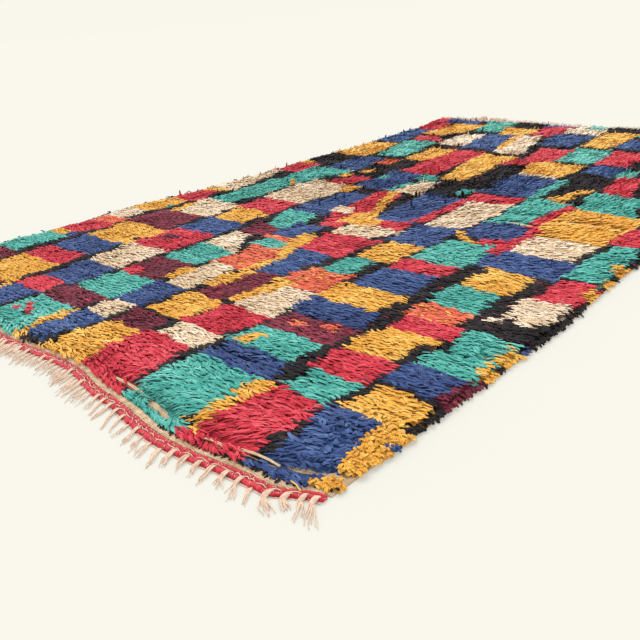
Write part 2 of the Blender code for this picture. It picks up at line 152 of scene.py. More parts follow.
# Colour blocks of the pile, in centimetres where the tips of the locks lie: (yarn, near end, far end,
# left and right side at the near end, left and right side at the far end). Later rows lie on top, and
# black is between them all.
BLOCKS = [
    # first strip, along the left edge
    ("navy", 2, 10, 1, 14, 1, 14),
    ("red", 12, 20, 2, 13, 2, 14),
    ("wine", 22, 28, 2, 15, 1, 14),
    ("teal", 28, 43.5, -3, 12, -3, 12),
    ("gold", 43.5, 46.5, -1, 8, -1, 8),
    ("navy", 43.5, 46.5, 8, 13, 8, 13),
    ("red", 46.5, 56.5, 0, 11, 0, 16),
    ("coral", 56.5, 62, 0, 14, 0, 14),
    ("cream", 62, 71, 1, 11, 1, 11),
    ("gold", 71, 86, -2, 10, -1, 11),
    ("red", 86, 98, 1, 15, 1, 11),
    ("gold", 97.5, 101, 1, 13, 2, 13),
    ("cream", 101, 131, 2, 15, 0, 8),
    ("red", 130, 143, -2, 16, -1, 15),
    ("gold", 142, 146, 4, 9, 4, 9),
    ("gold", 160, 184, 4, 19.5, 0, 17),
    ("navy", 186, 215, 0, 16, -3, 12),
    ("red", 215, 247, -1, 15, -9, 4),
    # second strip
    ("navy", 4, 12, 18, 33, 18, 33),
    ("red", 12, 15.5, 22, 33, 24, 33),
    ("gold", 16, 29, 20, 35, 14, 34),
    ("red", 29, 36.5, 15, 34, 15, 34),
    ("navy", 36.5, 47, 16, 35, 16, 35),
    ("gold", 47, 61, 16, 36, 16, 36),
    ("wine", 61, 75, 15, 34, 13, 32),
    ("cream", 75, 90, 21, 34, 14, 33),
    ("teal", 90, 112, 17, 27, 16, 30),
    ("teal", 112, 139, 16, 29, 15, 34),
    ("navy", 139.5, 160, 20.5, 34, 20, 32.5),
    ("teal", 163.5, 189.5, 23.4, 34.8, 17.8, 31.2),
    ("red", 191.5, 201.5, 19.5, 29.5, 16.5, 27),
    ("gold", 204, 230, 14.5, 28, 15, 28),
    ("navy", 229, 247, 9, 23, 5, 22),
    ("navy", 238, 247, 22, 33, 22, 33),
    # third strip
    ("navy", 8, 16.5, 38, 48, 37, 49),
    ("red", 16.5, 23, 36, 50, 37, 50),
    ("navy", 23, 35, 38, 51, 38, 51),
    ("cream", 35, 49, 38, 51, 37, 51),
    ("red", 49, 64, 36, 52, 36, 52),
    ("navy", 64, 76, 35, 51, 36, 51),
    ("gold", 76, 86, 36, 50, 36, 50),
    ("red", 86, 99, 33, 49, 33, 49),
    ("cream", 99, 123, 31, 49, 31, 48),
    ("red", 123.5, 134, 36, 44.5, 39, 47),
    ("gold", 160.5, 181, 38.5, 47.4, 37, 46.8),
    ("cream", 188, 209.5, 33.6, 47, 31.3, 41.4),
    ("teal", 216.5, 238, 32.5, 43, 26, 39),
    # fourth strip
    ("teal", 2, 16, 49, 66, 50, 67),
    ("wine", 16, 23.5, 51, 67, 52, 67),
    ("teal", 23.5, 35, 53, 67, 53, 67),
    ("wine", 35, 47, 53, 67, 53, 67),
    ("teal", 47, 58, 54, 67, 54, 67),
    ("cream", 58, 71, 55, 67, 52, 58),
    ("wine", 70, 79, 54, 64, 53, 63),
    ("teal", 78, 93, 57, 66, 50, 62),
    ("navy", 92.5, 116.5, 51, 65, 50.5, 60),
    ("navy", 122, 144, 47.5, 61, 47.5, 61),
    ("red", 144.5, 179, 50, 62.4, 48.4, 60.5),
    ("navy", 183.5, 212, 46.6, 59.4, 41.9, 53),
    ("gold", 212.5, 226.5, 45.5, 59, 40.7, 54.2),
    # fifth strip
    ("gold", 1, 16, 64, 67, 67, 69.4),
    ("navy", 4, 17, 66, 73, 70, 78),
    ("cream", 17, 24, 69, 77, 69, 77),
    ("navy", 24, 36, 67, 78, 67, 78),
    ("cream", 36, 50, 69, 78, 69, 78),
    ("coral", 50, 64, 68, 80, 68, 80),
    ("teal", 64, 69.5, 66, 76, 66, 76),
    ("coral", 69.5, 72.5, 63, 74, 63, 74),
    ("navy", 72.5, 84, 64, 75, 63, 73),
    ("red", 85, 102, 70, 77, 62, 70),
    ("red", 100.5, 119.5, 64.5, 76, 59, 70),
    ("cream", 121, 136.5, 65, 75, 64, 71),
    ("gold", 140.5, 178, 69, 75.6, 60.9, 74.5),
    ("cream", 181.5, 210, 62.2, 72, 56, 64.5),
    ("red", 209.5, 230.5, 61.5, 68.3, 55.7, 66.8),
    ("navy", 231, 241, 55, 67, 55, 69),
    # sixth strip
    ("gold", 1, 17.5, 74, 89, 80, 90),
    ("wine", 17.5, 24, 79, 90, 78, 89),
    ("gold", 25, 36, 79, 90, 79, 90),
    ("wine", 36, 52.5, 80, 90, 80, 90),
    ("navy", 52.5, 68, 81, 91, 81, 91),
    ("red", 68, 81, 79, 92, 76, 95),
    ("cream", 81, 92, 78, 90, 76, 93),
    ("red", 91, 97, 82, 92, 82, 92),
    ("gold", 90, 101, 71, 83, 70, 82),
    ("navy", 97, 124, 78, 91, 74.5, 91),
    ("red", 163, 174, 77, 82, 77, 88),
    ("red", 174, 193, 78.5, 89.2, 75.5, 87.7),
    ("navy", 197, 216.5, 72.6, 83.1, 68.7, 82.5),
    ("cream", 218.5, 245, 70, 82, 68, 81),
    # seventh strip
    ("red", 1, 18.5, 89, 105, 90, 104),
    ("cream", 18.5, 25, 93, 104, 92, 104),
    ("red", 25, 36, 90, 103, 91, 104),
    ("cream", 36, 48.5, 93, 104, 93, 104),
    ("coral", 49, 61, 91, 104, 92, 104),
    ("teal", 60, 70, 95, 103, 94, 103),
    ("gold", 70, 83, 96, 106, 96, 106),
    ("navy", 83, 98, 93, 106, 93, 106),
    ("cream", 98, 121, 94, 106, 93, 106),
    ("red", 121, 130, 90, 106, 89, 105),
    ("navy", 131, 153, 88.5, 106, 87.5, 102.5),
    ("gold", 156, 172.5, 88.5, 100.5, 84.5, 100),
    ("teal", 175.5, 195.5, 89.5, 100, 87, 98.5),
    ("gold", 197.5, 224.5, 87.4, 96.5, 84.2, 95),
    # eighth strip
    ("teal", 0, 18, 106, 122, 106, 122),
    ("navy", 18, 24.5, 106, 123, 106, 123),
    ("teal", 24.5, 33, 105, 122, 105, 122),
    ("wine", 33, 41, 105, 123, 105, 123),
    ("navy", 41, 48, 104, 122, 104, 122),
    ("gold", 48, 57, 104, 121, 105, 121),
    ("navy", 57, 68, 106, 120, 106, 120),
    ("red", 68, 75, 107, 120, 107, 120),
    ("teal", 75, 90, 107, 121, 107, 121),
    ("red", 90, 94, 113, 121, 113, 121),
    ("navy", 94, 109, 107, 120, 107, 120),
    ("teal", 106, 131, 107, 119, 107, 118),
    ("navy", 161.5, 174.5, 104, 113, 104, 113.5),
    ("red", 175, 194, 102.5, 112, 101.5, 109.5),
    ("navy", 199, 213, 98.5, 110, 98.5, 109),
    ("teal", 220, 238, 97, 108, 96, 108),
    # ninth strip
    ("red", 0, 18, 125, 135, 125, 136.5),
    ("teal", 18.3, 26.3, 126, 136.2, 127, 137),
    ("red", 25.5, 34, 125, 137, 125, 137),
    ("gold", 34, 45, 125, 136, 125, 136),
    ("red", 45, 51, 125, 138, 125, 138),
    ("coral", 51, 57.5, 124, 135, 124, 135),
    ("teal", 57.5, 68, 124, 135, 124, 135),
    ("gold", 68, 78.5, 125, 136, 125, 136),
    ("navy", 78.5, 90, 121, 140, 121, 140),
    ("cream", 90, 105, 121, 138, 121, 138),
    ("gold", 102, 126, 120.5, 139, 120.5, 139),
    ("teal", 126, 142.5, 120, 135, 117, 131),
    ("red", 142.5, 163, 120, 126.5, 116, 121.5),
    ("gold", 149, 168, 130, 141, 123, 136),
    ("cream", 171, 186, 121, 134, 119, 131),
    ("navy", 189, 206, 113, 128, 112, 126),
    ("red", 209, 223, 112, 125, 112, 125),
    ("gold", 226, 238, 110, 123, 110, 123),
    # tenth strip, along the right edge
    ("navy", 0, 3.9, 136, 147, 136, 147),
    ("navy", 3.9, 19.5, 137.8, 147, 137, 147),
    ("gold", 19.0, 27.5, 138.3, 147.5, 139.5, 149.3),
    ("navy", 28, 36, 138, 148, 138, 148),
    ("teal", 36, 51, 139, 148, 139, 148),
    ("cream", 58, 69.5, 139.5, 147.5, 139.5, 147.5),
    ("red", 69.5, 81, 140, 148, 141, 149),
    ("teal", 82, 104, 140, 147, 140, 146),
    ("red", 104, 116, 139, 146, 139, 146),
    ("cream", 118, 130, 141, 148, 141, 148),
    ("navy", 132, 146, 137, 147, 136, 147),
    ("red", 150, 164, 143, 150, 142, 150),
    ("teal", 168, 184, 138, 150, 137, 150),
    ("wine", 187, 199, 131, 147, 131, 147),
    ("gold", 202, 216, 130, 148, 130, 148),
    ("navy", 219, 237, 128, 147, 128, 147),
]

# Blocks whose near end lies past this place are wider on each side, in centimetres
FAR_BLOCKS = 140.0
FAR_SPREAD = 0.9

# Streaks, tufts and small motifs on the blocks, with the same columns
STREAKS = [
    ("gold", 3, 20.5, 147, 152, 146, 152),
    ("gold", 0, 5.6, 145.6, 152, 145.6, 152),
    ("navy", 8.0, 9.4, 149.3, 152, 149.3, 152),
    ("navy", 15.6, 17.2, 149.3, 152, 149.3, 152),
    ("gold", 44, 49.5, 147, 152, 147, 152),
    ("gold", 38.5, 42.5, 147, 152, 147, 152),
    ("navy", 49.5, 52, 148.6, 152, 148.6, 152),
    ("black", 3.6, 5.8, 149.4, 152, 149.4, 152),
    ("gold", 75.5, 80, 147, 151, 147, 151),
    ("gold", 83, 87.5, 146.5, 151, 146.5, 151),
    ("gold", 90, 95, 146, 150, 146, 150),
    ("cream", 56, 58.5, 137.5, 140.5, 137.5, 141),
    ("black", 55, 61, 140, 143.5, 140.8, 142.4),
    ("gold", 2.8, 18, 122.3, 125.6, 122.3, 125.6),
    ("red", 0, 2.8, 122, 126, 122, 126),
    ("gold", 25, 30, 106, 109, 107, 111),
    ("gold", 12, 16, 35, 37, 35, 37),
    ("gold", 38, 45, 66, 70, 66, 70),
    ("gold", 40, 52, 78, 81, 79, 82),
    ("gold", 53, 62, 78, 81, 79, 82),
    ("gold", 62, 78, 78, 82, 71, 76),
    ("gold", 38, 52, 89, 93, 91, 96),
    ("gold", 75, 83, 16, 20, 15, 19),
    ("gold", 90, 97, 111, 115, 103, 106),
    ("gold", 100, 121, 73, 77, 64, 68),
    ("gold", 113, 120, 28, 30, 22, 24),
    ("gold", 116, 124, 46, 51, 46, 51),
    ("gold", 131, 143, 110, 114, 113, 117),
    ("gold", 131, 135.5, 33.5, 37, 33, 36.5),
    ("gold", 139, 143, 36, 40, 36, 40),
    ("gold", 186, 211.5, 60.3, 61.3, 54.3, 55.8),
    ("coral", 151, 159, 32.5, 37, 34, 38),
    ("cream", 97, 103, 61, 69, 60, 67),
    ("cream", 153.5, 156, 89, 100, 89, 100),
    ("teal", 128, 152, 104.5, 107.5, 103, 106),
    ("teal", 137, 144.5, 61, 68, 60.5, 66.5),
    ("teal", 127, 132, 83, 88, 83, 88),
    ("teal", 162.5, 171.5, 114.5, 118, 114.5, 118),
    ("teal", 134, 139, 48, 51, 48, 51),
    ("teal", 121, 134, 61, 64, 62, 65),
    ("teal", 77, 80, 10, 12, 10, 12),
    ("teal", 228, 236, 75, 80, 74, 79),
    ("red", 8.5, 10, 52, 54, 52, 54),
    ("red", 9.5, 11, 56, 59, 56, 59),
    ("red", 11, 12.5, 53, 55, 53, 55),
    ("red", 99, 123, 89, 92, 90, 93),
    ("red", 85, 105, 120, 123, 120, 123),
    ("red", 105, 128, 118, 121, 117, 120),
    ("red", 35, 39, 53, 58, 53, 57),
    ("wine", 29, 38, 148, 151, 148, 151),
    ("wine", 55, 59, 39, 44, 39, 44),
    ("coral", 36, 38, 108, 113, 109, 114),
    ("coral", 38, 40, 116, 119, 116, 119),
    ("black", 51, 54, 32, 36, 32, 36),
    ("black", 57, 60, 90, 93, 90, 93),
    ("black", 198, 210, 26, 31, 26, 31),
]

# Places where the rows part and wefts show: (left end, right end, place, half width), in centimetres
# of the woven plan
PARTINGS = [
    (99, 111, 5.15, 0.24),
    (110, 118, 5.15, 0.50),
    (125, 130.5, 7.10, 0.15),
    (126.5, 131.5, 4.30, 0.15),
    (133.5, 141, 4.90, 0.18),
    (140.5, 146, 6.05, 0.60),
    (145.5, 150, 5.90, 1.20),
    (126, 134, 23.2, 0.20),
    (106, 117, 22.0, 0.20),
    (106, 115, 41.2, 0.36),
    (137, 144, 42.6, 0.40),
    (145, 148, 44.0, 0.60),
    (122, 135, 103.0, 0.60),
    (121, 139, 114.8, 0.80),
    (108, 120, 107.6, 0.60),
    (109, 119, 115.0, 0.45),
    (112, 119, 130.0, 0.45),
    (82, 86, 119.5, 0.30),
    (57, 62, 8.8, 0.20),
]
WEFT_PITCH = 0.0019
WEFT_RADIUS = 0.0011

# Rows of knots, and how far from its row a lock may be rooted. A lock's ridge is a share of its half
# width, and its points lie between the floor and ceiling here.
ROW_PITCH = 0.0100
ROWS = PILE_NEAR + (np.arange(int((PILE_END - PILE_NEAR) / ROW_PITCH)) + 0.5) * ROW_PITCH
KNOT_REACH = 0.0042
LOCK_RIDGE = 0.48
LOCK_FLOOR = 0.0006
PILE_CEILING = 0.042

# The two zones of the pile. stations are the shares of a lock's length where it has points, and
# fullness is the share of its width at each of them but the tip.
Zone = namedtuple("Zone", "name near far knot_pitch locks_a_knot width length stations fullness")
PILE_ZONES = [
    Zone("fine", 0.00, 0.80, 0.0195, 5, 0.0041, 0.034, (0.0, 0.30, 0.62, 0.92, 1.0), (0.70, 1.0, 1.0, 0.88)),
    Zone("full", 0.80, 2.40, 0.0120, 2, 0.0066, 0.030, (0.0, 0.36, 0.80, 1.0), (0.70, 1.0, 0.80)),
]
# The share of a lock's length by whose place it takes the yarn of a block
LOCK_SEEN = 0.72

# What changes from the combed near part of the pile to the tousled far part: (combed, tousled).
# Angles are in degrees.
COMBED_UP_TO = 0.70
TOUSLED_OVER = 0.80
LOCK_HABITS = {
    "upright": (0.0, 0.55),
    "upright stray": (0.03, 0.10),
    "root tilt": (58.0, 62.0),
    "patch heading": (9.0, 55.0),
    "knot heading": (7.0, 22.0),
    "lock heading": (5.0, 13.0),
    "curl": (16.0, 26.0),
    "sway": (34.0, 18.0),
    "length": (1.0, 0.92),
    "width": (1.0, 1.10),
    "on end": (0.0, 0.032),
}
# Degrees from upright at a lock's tip when it lies flat, and what an upright lock loses of its tilt at
# the tip and at the root
TIP_TILT = 99.0
TIP_RISE = 42.0
ROOT_RISE = 34.0
# The first rows droop over the hem: how far in, the added tilt at root and tip, the height lost, and
# where the first rows end
DROOP_REACH = 0.022
DROOP_ROOT = 12.0
DROOP_TIP = 14.0
DROOP_LOSS = 0.18
FIRST_ROWS = 0.0515

# Locks that lie by themselves: (heading, curl, sway, tilt at the root, tilt at the tip), each as
# (middle, spread) in degrees or None where there is none
LOOSE_LOCKS = {
    "side": ((0.0, 26.0), (0.0, 30.0), (0.0, 16.0), (56.0, 12.0), (146.0, 12.0)),
    "border": ((-20.0, 85.0), (0.0, 60.0), (0.0, 25.0), (40.0, 18.0), (150.0, 16.0)),
    "foot": ((-85.0, 26.0), (0.0, 20.0), None, (66.0, 9.0), (108.0, 12.0)),
}
# Locks over the side edges: (place of the edge, way out in degrees, locks a row, length, width, lump
# below which there are none)
SIDE_LOCKS = [
    (0.0, 180.0, 3, 0.020, 0.0062, -0.8),
    (RUG_WIDTH, 0.0, 6, 0.0105, 0.0052, -0.7),
]

# How the locks are combed in some places: (left, right, near and far end of the place, way that they
# point in degrees from the row, how far patches and single knots stray from it, curl of a lock, share
# of the usual length, share of the usual width, share of the place). Later rows lie over earlier ones.
COMBING = [
    (0.98, 1.46, FIRST_ROWS, 0.115, 14.0, 9.0, 9.0, 14.0, 1.00, 1.00, 1.00),
    (0.98, 1.46, FIRST_ROWS, 0.084, 36.0, 9.0, 11.0, 14.0, 0.95, 1.00, 0.92),
    (0.95, 1.22, FIRST_ROWS, 0.150, -145.0, 10.0, 14.0, 20.0, 0.90, 1.00, 0.16),
    (1.36, 1.46, FIRST_ROWS, 0.180, 6.0, 20.0, 22.0, 30.0, 0.92, 1.00, 0.85),
    (1.42, 1.51, 0.0000, 0.215, -25.0, 34.0, 46.0, 30.0, 0.56, 1.20, 1.00),
    (-0.01, 1.06, 0.0000, FIRST_ROWS, -22.0, 9.0, 9.0, 14.0, 0.84, 0.84, 1.00),
    (1.06, 1.46, 0.0000, FIRST_ROWS, -22.0, 10.0, 10.0, 16.0, 0.74, 0.84, 1.00),
]
# Where many locks stand on end: (left, right, near and far end)
RUFFLED = [
    (0.68, 0.88, 1.21, 1.27),
    (0.70, 0.84, 1.33, 1.44),
    (0.72, 0.84, 1.56, 1.68),
    (1.04, 1.16, 1.66, 1.78),
]
# How far the first locks reach over the hem: (place along the edge, reach past the foot of the pile)
HEM_COVER = [
    (0.00, 0.0150),
    (0.84, 0.0135),
    (0.98, 0.0060),
    (1.20, 0.0045),
    (1.50, 0.0045),
]

# The packed wool under the locks: the step along a row, and its section across a row as (share of the
# row pitch from the row's middle, share of the pile's height where it is combed, and where it is tousled)
BED_STEP = 0.020
BED_SECTION = [(-0.50, 0.60, 0.50), (0.0, 0.84, 0.77)]

# The pile's map: a column of cells for each shade, a row for each variant, and the cells' margin
CARD_COLUMNS = 32
CARD_ROWS = 4
CARD_MARGIN = 0.06

# Smooth bumps over the rug: (seed, size of a bump)
BUMP_CELLS = 96
BUMPS = {
    "row drift": (31, 0.11),
    "row jitter": (36, 0.03),
    "upright": (32, 0.13),
    "upright close": (37, 0.035),
    "combed patch": (34, 0.030),
    "combed place": (46, 0.030),
    "sway": (47, 0.016),
    "crest": (38, 0.022),
    "side lumps": (39, 0.035),
    "block side": (41, 0.055),
    "block side close": (42, 0.014),
    "block end": (43, 0.055),
    "block end close": (44, 0.014),
    "dye": (45, 0.07),
    "weave": (51, 0.02),
    "knotted edge": (71, 0.01),
    "weft": (92, 0.02),
}

# Fringe strands: (place along the edge, length, lean to the right in degrees, distance to the next,
# how far single strands stray from the lean in degrees)
NEAR_STRANDS = [
    (0.00, 0.044, 18.0, 0.0138, 3.0),
    (0.60, 0.046, 26.0, 0.0136, 3.0),
    (0.92, 0.038, 29.0, 0.0138, 3.0),
    (1.07, 0.032, 26.0, 0.0240, 7.0),
    (1.40, 0.034, 28.0, 0.0250, 8.0),
    (1.50, 0.046, 38.0, 0.0150, 4.0),
]
FAR_STRANDS = [
    (0.00, 0.048, -14.0, 0.0300, 3.0),
    (0.40, 0.052, -4.0, 0.0320, 3.0),
    (0.90, 0.046, 3.0, 0.0320, 3.0),
    (1.50, 0.048, 10.0, 0.0320, 3.0),
]
STRAND_PARTS = 3
STRAND_BEND = 9.0
STRAND_LENGTH_SPREAD = (0.70, 1.25)
STRAND_PLACE_SPREAD = 0.0015
KNOTTED_EDGE_WIDTH = 0.006
# Thicker tufts stand at the near right corner and the far left one. Near tufts are fuller at the left
# and sparser towards the right.
THICK_TUFT = 1.7
NEAR_FULL_TO = 0.72
NEAR_SPARSE_FROM = 1.03
NEAR_THICK_FROM = 1.43
FAR_THICK_TO = 0.30
TUFT_FANS = [-0.0016, 0.0012, 0.0032, 0.0055]
Tuft = namedtuple("Tuft", "ends thick forked over wide belly fan veer rise")

# The band's two twined rows: (place across the band, turn of a stitch in degrees, half its length, half
# its width, how flat it is, pitch)
TWINED_ROWS = [
    (0.75, -44.0, 0.0062, 0.0030, 0.52, 0.0052),
    (0.27, -18.0, 0.0096, 0.0044, 0.46, 0.0098),
]
BAND_END_ROUNDING = 0.014
# The strip under the twined rows: (share of the band's width, height) round its section
BAND_STRIP = [(0.08, 0.0003), (0.08, 0.0022), (0.24, 0.0034), (0.80, 0.0034), (0.96, 0.0022), (0.96, 0.0003)]
# Where the pale edging runs round the right end of the band
BAND_EDGING = [
    (1.462, 0.0200), (1.484, 0.0196), (1.4945, 0.0175), (1.4985, 0.0125),
    (1.4980, 0.0070), (1.4930, 0.0020), (1.4820, 0.0002),
]

# A quarter turn, in radians as the spun yarns' turns are
QUARTER = 0.5 * math.pi
# Spun yarns: (relief, roughness, sheen, colour, colour of the mottle and of the painted shade between
# threads, threads per metre, turn of the threads, size and strength of the mottle)
SPUN_YARNS = {
    "undyed ground weave": (0.0008, 0.90, 0.20, (226, 200, 164), (168, 134, 98), 260.0, QUARTER, 90.0, 0.8),
    "undyed warp wool": (0.0006, 0.90, 0.20, (232, 206, 182), (190, 152, 124), 700.0, 0.8, 160.0, 0.5),
    "undyed weft wool": (0.0006, 0.90, 0.20, (222, 196, 158), (176, 144, 106), 600.0, 0.0, 140.0, 0.5),
    "red twined wool": (0.0006, 0.85, 0.25, (216, 44, 58), (150, 18, 34), 620.0, 0.7, 150.0, 0.8),
}

# The camera's place in the woven plan's frame, its turn in degrees, and its lens in millimetres
CAMERA_PLACE = (2.022, -0.446, 0.546)
CAMERA_TURN = (-46.32, 23.32, 5.36)
CAMERA_LENS = 40.83

FLOOR_COLOUR = (249, 247, 236)


# Plan of the weave


def ease(share):
    """Smooth step from 0 to 1."""
    share = np.clip(share, 0.0, 1.0)
    return share * share * (3.0 - 2.0 * share)


def read_table(table, place, column=1):
    """The value of a column at each place, eased from row to row."""
    rows = np.array(table, float)
    k = np.clip(np.searchsorted(rows[:, 0], place) - 1, 0, len(rows) - 2)
    share = ease((place - rows[k, 0]) / (rows[k + 1, 0] - rows[k, 0]))
    return rows[k, column] + share * (rows[k + 1, column] - rows[k, column])


def fade(distance, reach):
    """Share of an edge's stray that is left at a distance from that edge."""
    return (1.0 - np.clip(distance / reach, 0.0, 1.0)) ** 2


def lay(x, y):
    """Where points of the woven plan lie on the floor, before the rug is centred."""
    x, y = np.asarray(x, float), np.asarray(y, float)
    stray_x = (read_table(LEFT_EDGE, y) * fade(x, SIDE_WAVE_REACH)
               + read_table(RIGHT_EDGE, y) * fade(RUG_WIDTH - x, SIDE_WAVE_REACH))
    stray_y = (read_table(NEAR_EDGE, x) * fade(y, END_WAVE_REACH)
               + read_table(FAR_EDGE, x) * fade(PILE_END - y, END_WAVE_REACH))
    return x + stray_x, y + stray_y


def ripple_height(x, y):
    """How much the ripples lift the cloth at points of the plan."""
    lift = np.zeros(np.broadcast(x, y).shape)
    for left, right, crest, height, half_width in RIPPLES:
        across = ease((x - left) / RIPPLE_RUN_OUT) * ease((right - x) / RIPPLE_RUN_OUT)
        lift = lift + height * across * np.exp(-((y - crest) / half_width) ** 2)
    return lift


def cloth_top(x, y):
    """Height of the cloth's upper side at points of the plan."""
    return CLOTH_THICKNESS + ripple_height(x, y)


def bumps(name, x, y, other=0):
    """Smooth bumps between -1 and 1, the same at each run; other picks another set of the same size."""
    seed, size = BUMPS[name]
    cells = np.random.RandomState(seed + other).uniform(-1.0, 1.0, (BUMP_CELLS, BUMP_CELLS))
    column, row = np.asarray(x) / size + 8.0, np.asarray(y) / size + 8.0
    i, j = np.floor(column).astype(int), np.floor(row).astype(int)
    u, v = ease(column - i), ease(row - j)
    i, j, after_i, after_j = (k % BUMP_CELLS for k in (i, j, i + 1, j + 1))
    near = cells[j, i] * (1 - u) + cells[j, after_i] * u
    far = cells[after_j, i] * (1 - u) + cells[after_j, after_i] * u
    return near * (1 - v) + far * v


def plan_centre():
    """What was taken off the plan's places when the rug was centred, read from the red band's box."""
    stations = np.linspace(0.0, RUG_WIDTH, EDGE_STEPS + 1)
    outer = lay(stations, np.zeros_like(stations))
    ends = lay(np.zeros(2), np.array([0.0, BAND_WIDTH]))
    low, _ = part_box("near_end_band")
    middle_x = 0.5 * (ends[0][0] + ends[0][1])
    return np.array([middle_x - low.x, outer[1].min() - low.y])


def rug_solid():
    """The CAD pile, ready to be asked for its height."""
    mesh = next(o for o in bpy.data.objects if o.type == "MESH" and o.name == "rug").data
    corners = [v.co.copy() for v in mesh.vertices]
    return BVHTree.FromPolygons(corners, [tuple(p.vertices) for p in mesh.polygons])


CENTRE = plan_centre()
RUG_SOLID = rug_solid()


# Meshes and materials


def linear(colour):
    """Scene-linear values of a colour given as 0 to 255."""
    share = np.array(colour, float) / 255.0
    return tuple(np.where(share <= 0.04045, share / 12.92, ((share + 0.055) / 1.055) ** 2.4))


def paint(colour):
    """The same with full cover, as a colour socket takes it."""
    return (*linear(colour), 1.0)


def make_piece(name, points, faces, material, slot, uv=None, stands_for=None):
    """A piece of the rug that rides on its body; points are in the woven plan's frame."""
    points = np.array(points, float)
    points[:, :2] -= CENTRE
    mesh = bpy.data.meshes.new(name)
    mesh.from_pydata(points.tolist(), [], [tuple(int(v) for v in face) for face in faces])
    mesh.polygons.foreach_set("use_smooth", np.full(len(mesh.polygons), True))
    if uv is not None:
        layer = mesh.uv_layers.new(name="OFBake")
        corners = np.zeros(len(mesh.loops), int)
        mesh.loops.foreach_get("vertex_index", corners)
        layer.data.foreach_set("uv", np.asarray(uv, float)[corners].ravel())
    mesh.materials.append(material)
    mesh.update()
    piece = bpy.data.objects.new(name, mesh)
    bpy.context.scene.collection.objects.link(piece)
    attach(piece, "root")
    if stands_for:
        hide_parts(stands_for)
    return piece


class Nodes:
    """Short ways to add nodes to a material or a node group."""

    def __init__(self, tree):
        self.tree = tree

    def add(self, kind, settings=None, **inputs):
        node = self.tree.nodes.new(kind)
        for key, value in (settings or {}).items():
            setattr(node, key, value)
        for key, value in inputs.items():
            self.feed(node.inputs[key.replace("_", " ")], value)
        return node

    def feed(self, socket, value):
        if isinstance(value, bpy.types.NodeSocket):
            self.tree.links.new(value, socket)
        else:
            socket.default_value = value

    def maths(self, operation, first, second=None, clamp=False):
        node = self.add("ShaderNodeMath", {"operation": operation, "use_clamp": clamp})
        self.feed(node.inputs[0], first)
        if second is not None:
            self.feed(node.inputs[1], second)
        return node.outputs[0]

    def plus(self, first, second):
        return self.maths("ADD", first, second)

    def less(self, first, second):
        return self.maths("SUBTRACT", first, second)

    def times(self, first, second):
        return self.maths("MULTIPLY", first, second)

    def noise(self, place, scale, detail, roughness=0.5):
        found = self.add("ShaderNodeTexNoise", Vector=place, Scale=scale, Detail=detail, Roughness=roughness)
        return found.outputs[0]

    def blend(self, share, first, second):
        node = self.add("ShaderNodeMix", {"data_type": "RGBA", "clamp_result": True}, Factor=share)
        self.feed(node.inputs[6], first)
        self.feed(node.inputs[7], second)
        return node.outputs[2]

    def remap(self, value, low, high, new_low, new_high):
        node = self.add(
            "ShaderNodeMapRange", {"clamp": True},
            Value=value, From_Min=low, From_Max=high, To_Min=new_low, To_Max=new_high,
        )
        return node.outputs["Result"]


def new_group(name, colours, values, outputs):
    """A shader node group with named colour and value inputs, given with their usual values."""
    tree = bpy.data.node_groups.new(name, "ShaderNodeTree")
    for label, value in colours.items():
        socket = tree.interface.new_socket(label, in_out="INPUT", socket_type="NodeSocketColor")
        socket.default_value = value
    for label, value in values.items():
        socket = tree.interface.new_socket(label, in_out="INPUT", socket_type="NodeSocketFloat")
        socket.default_value = value
    for label, kind in outputs.items():
        tree.interface.new_socket(label, in_out="OUTPUT", socket_type=kind)
    return Nodes(tree), tree.nodes.new("NodeGroupInput").outputs, tree.nodes.new("NodeGroupOutput").inputs


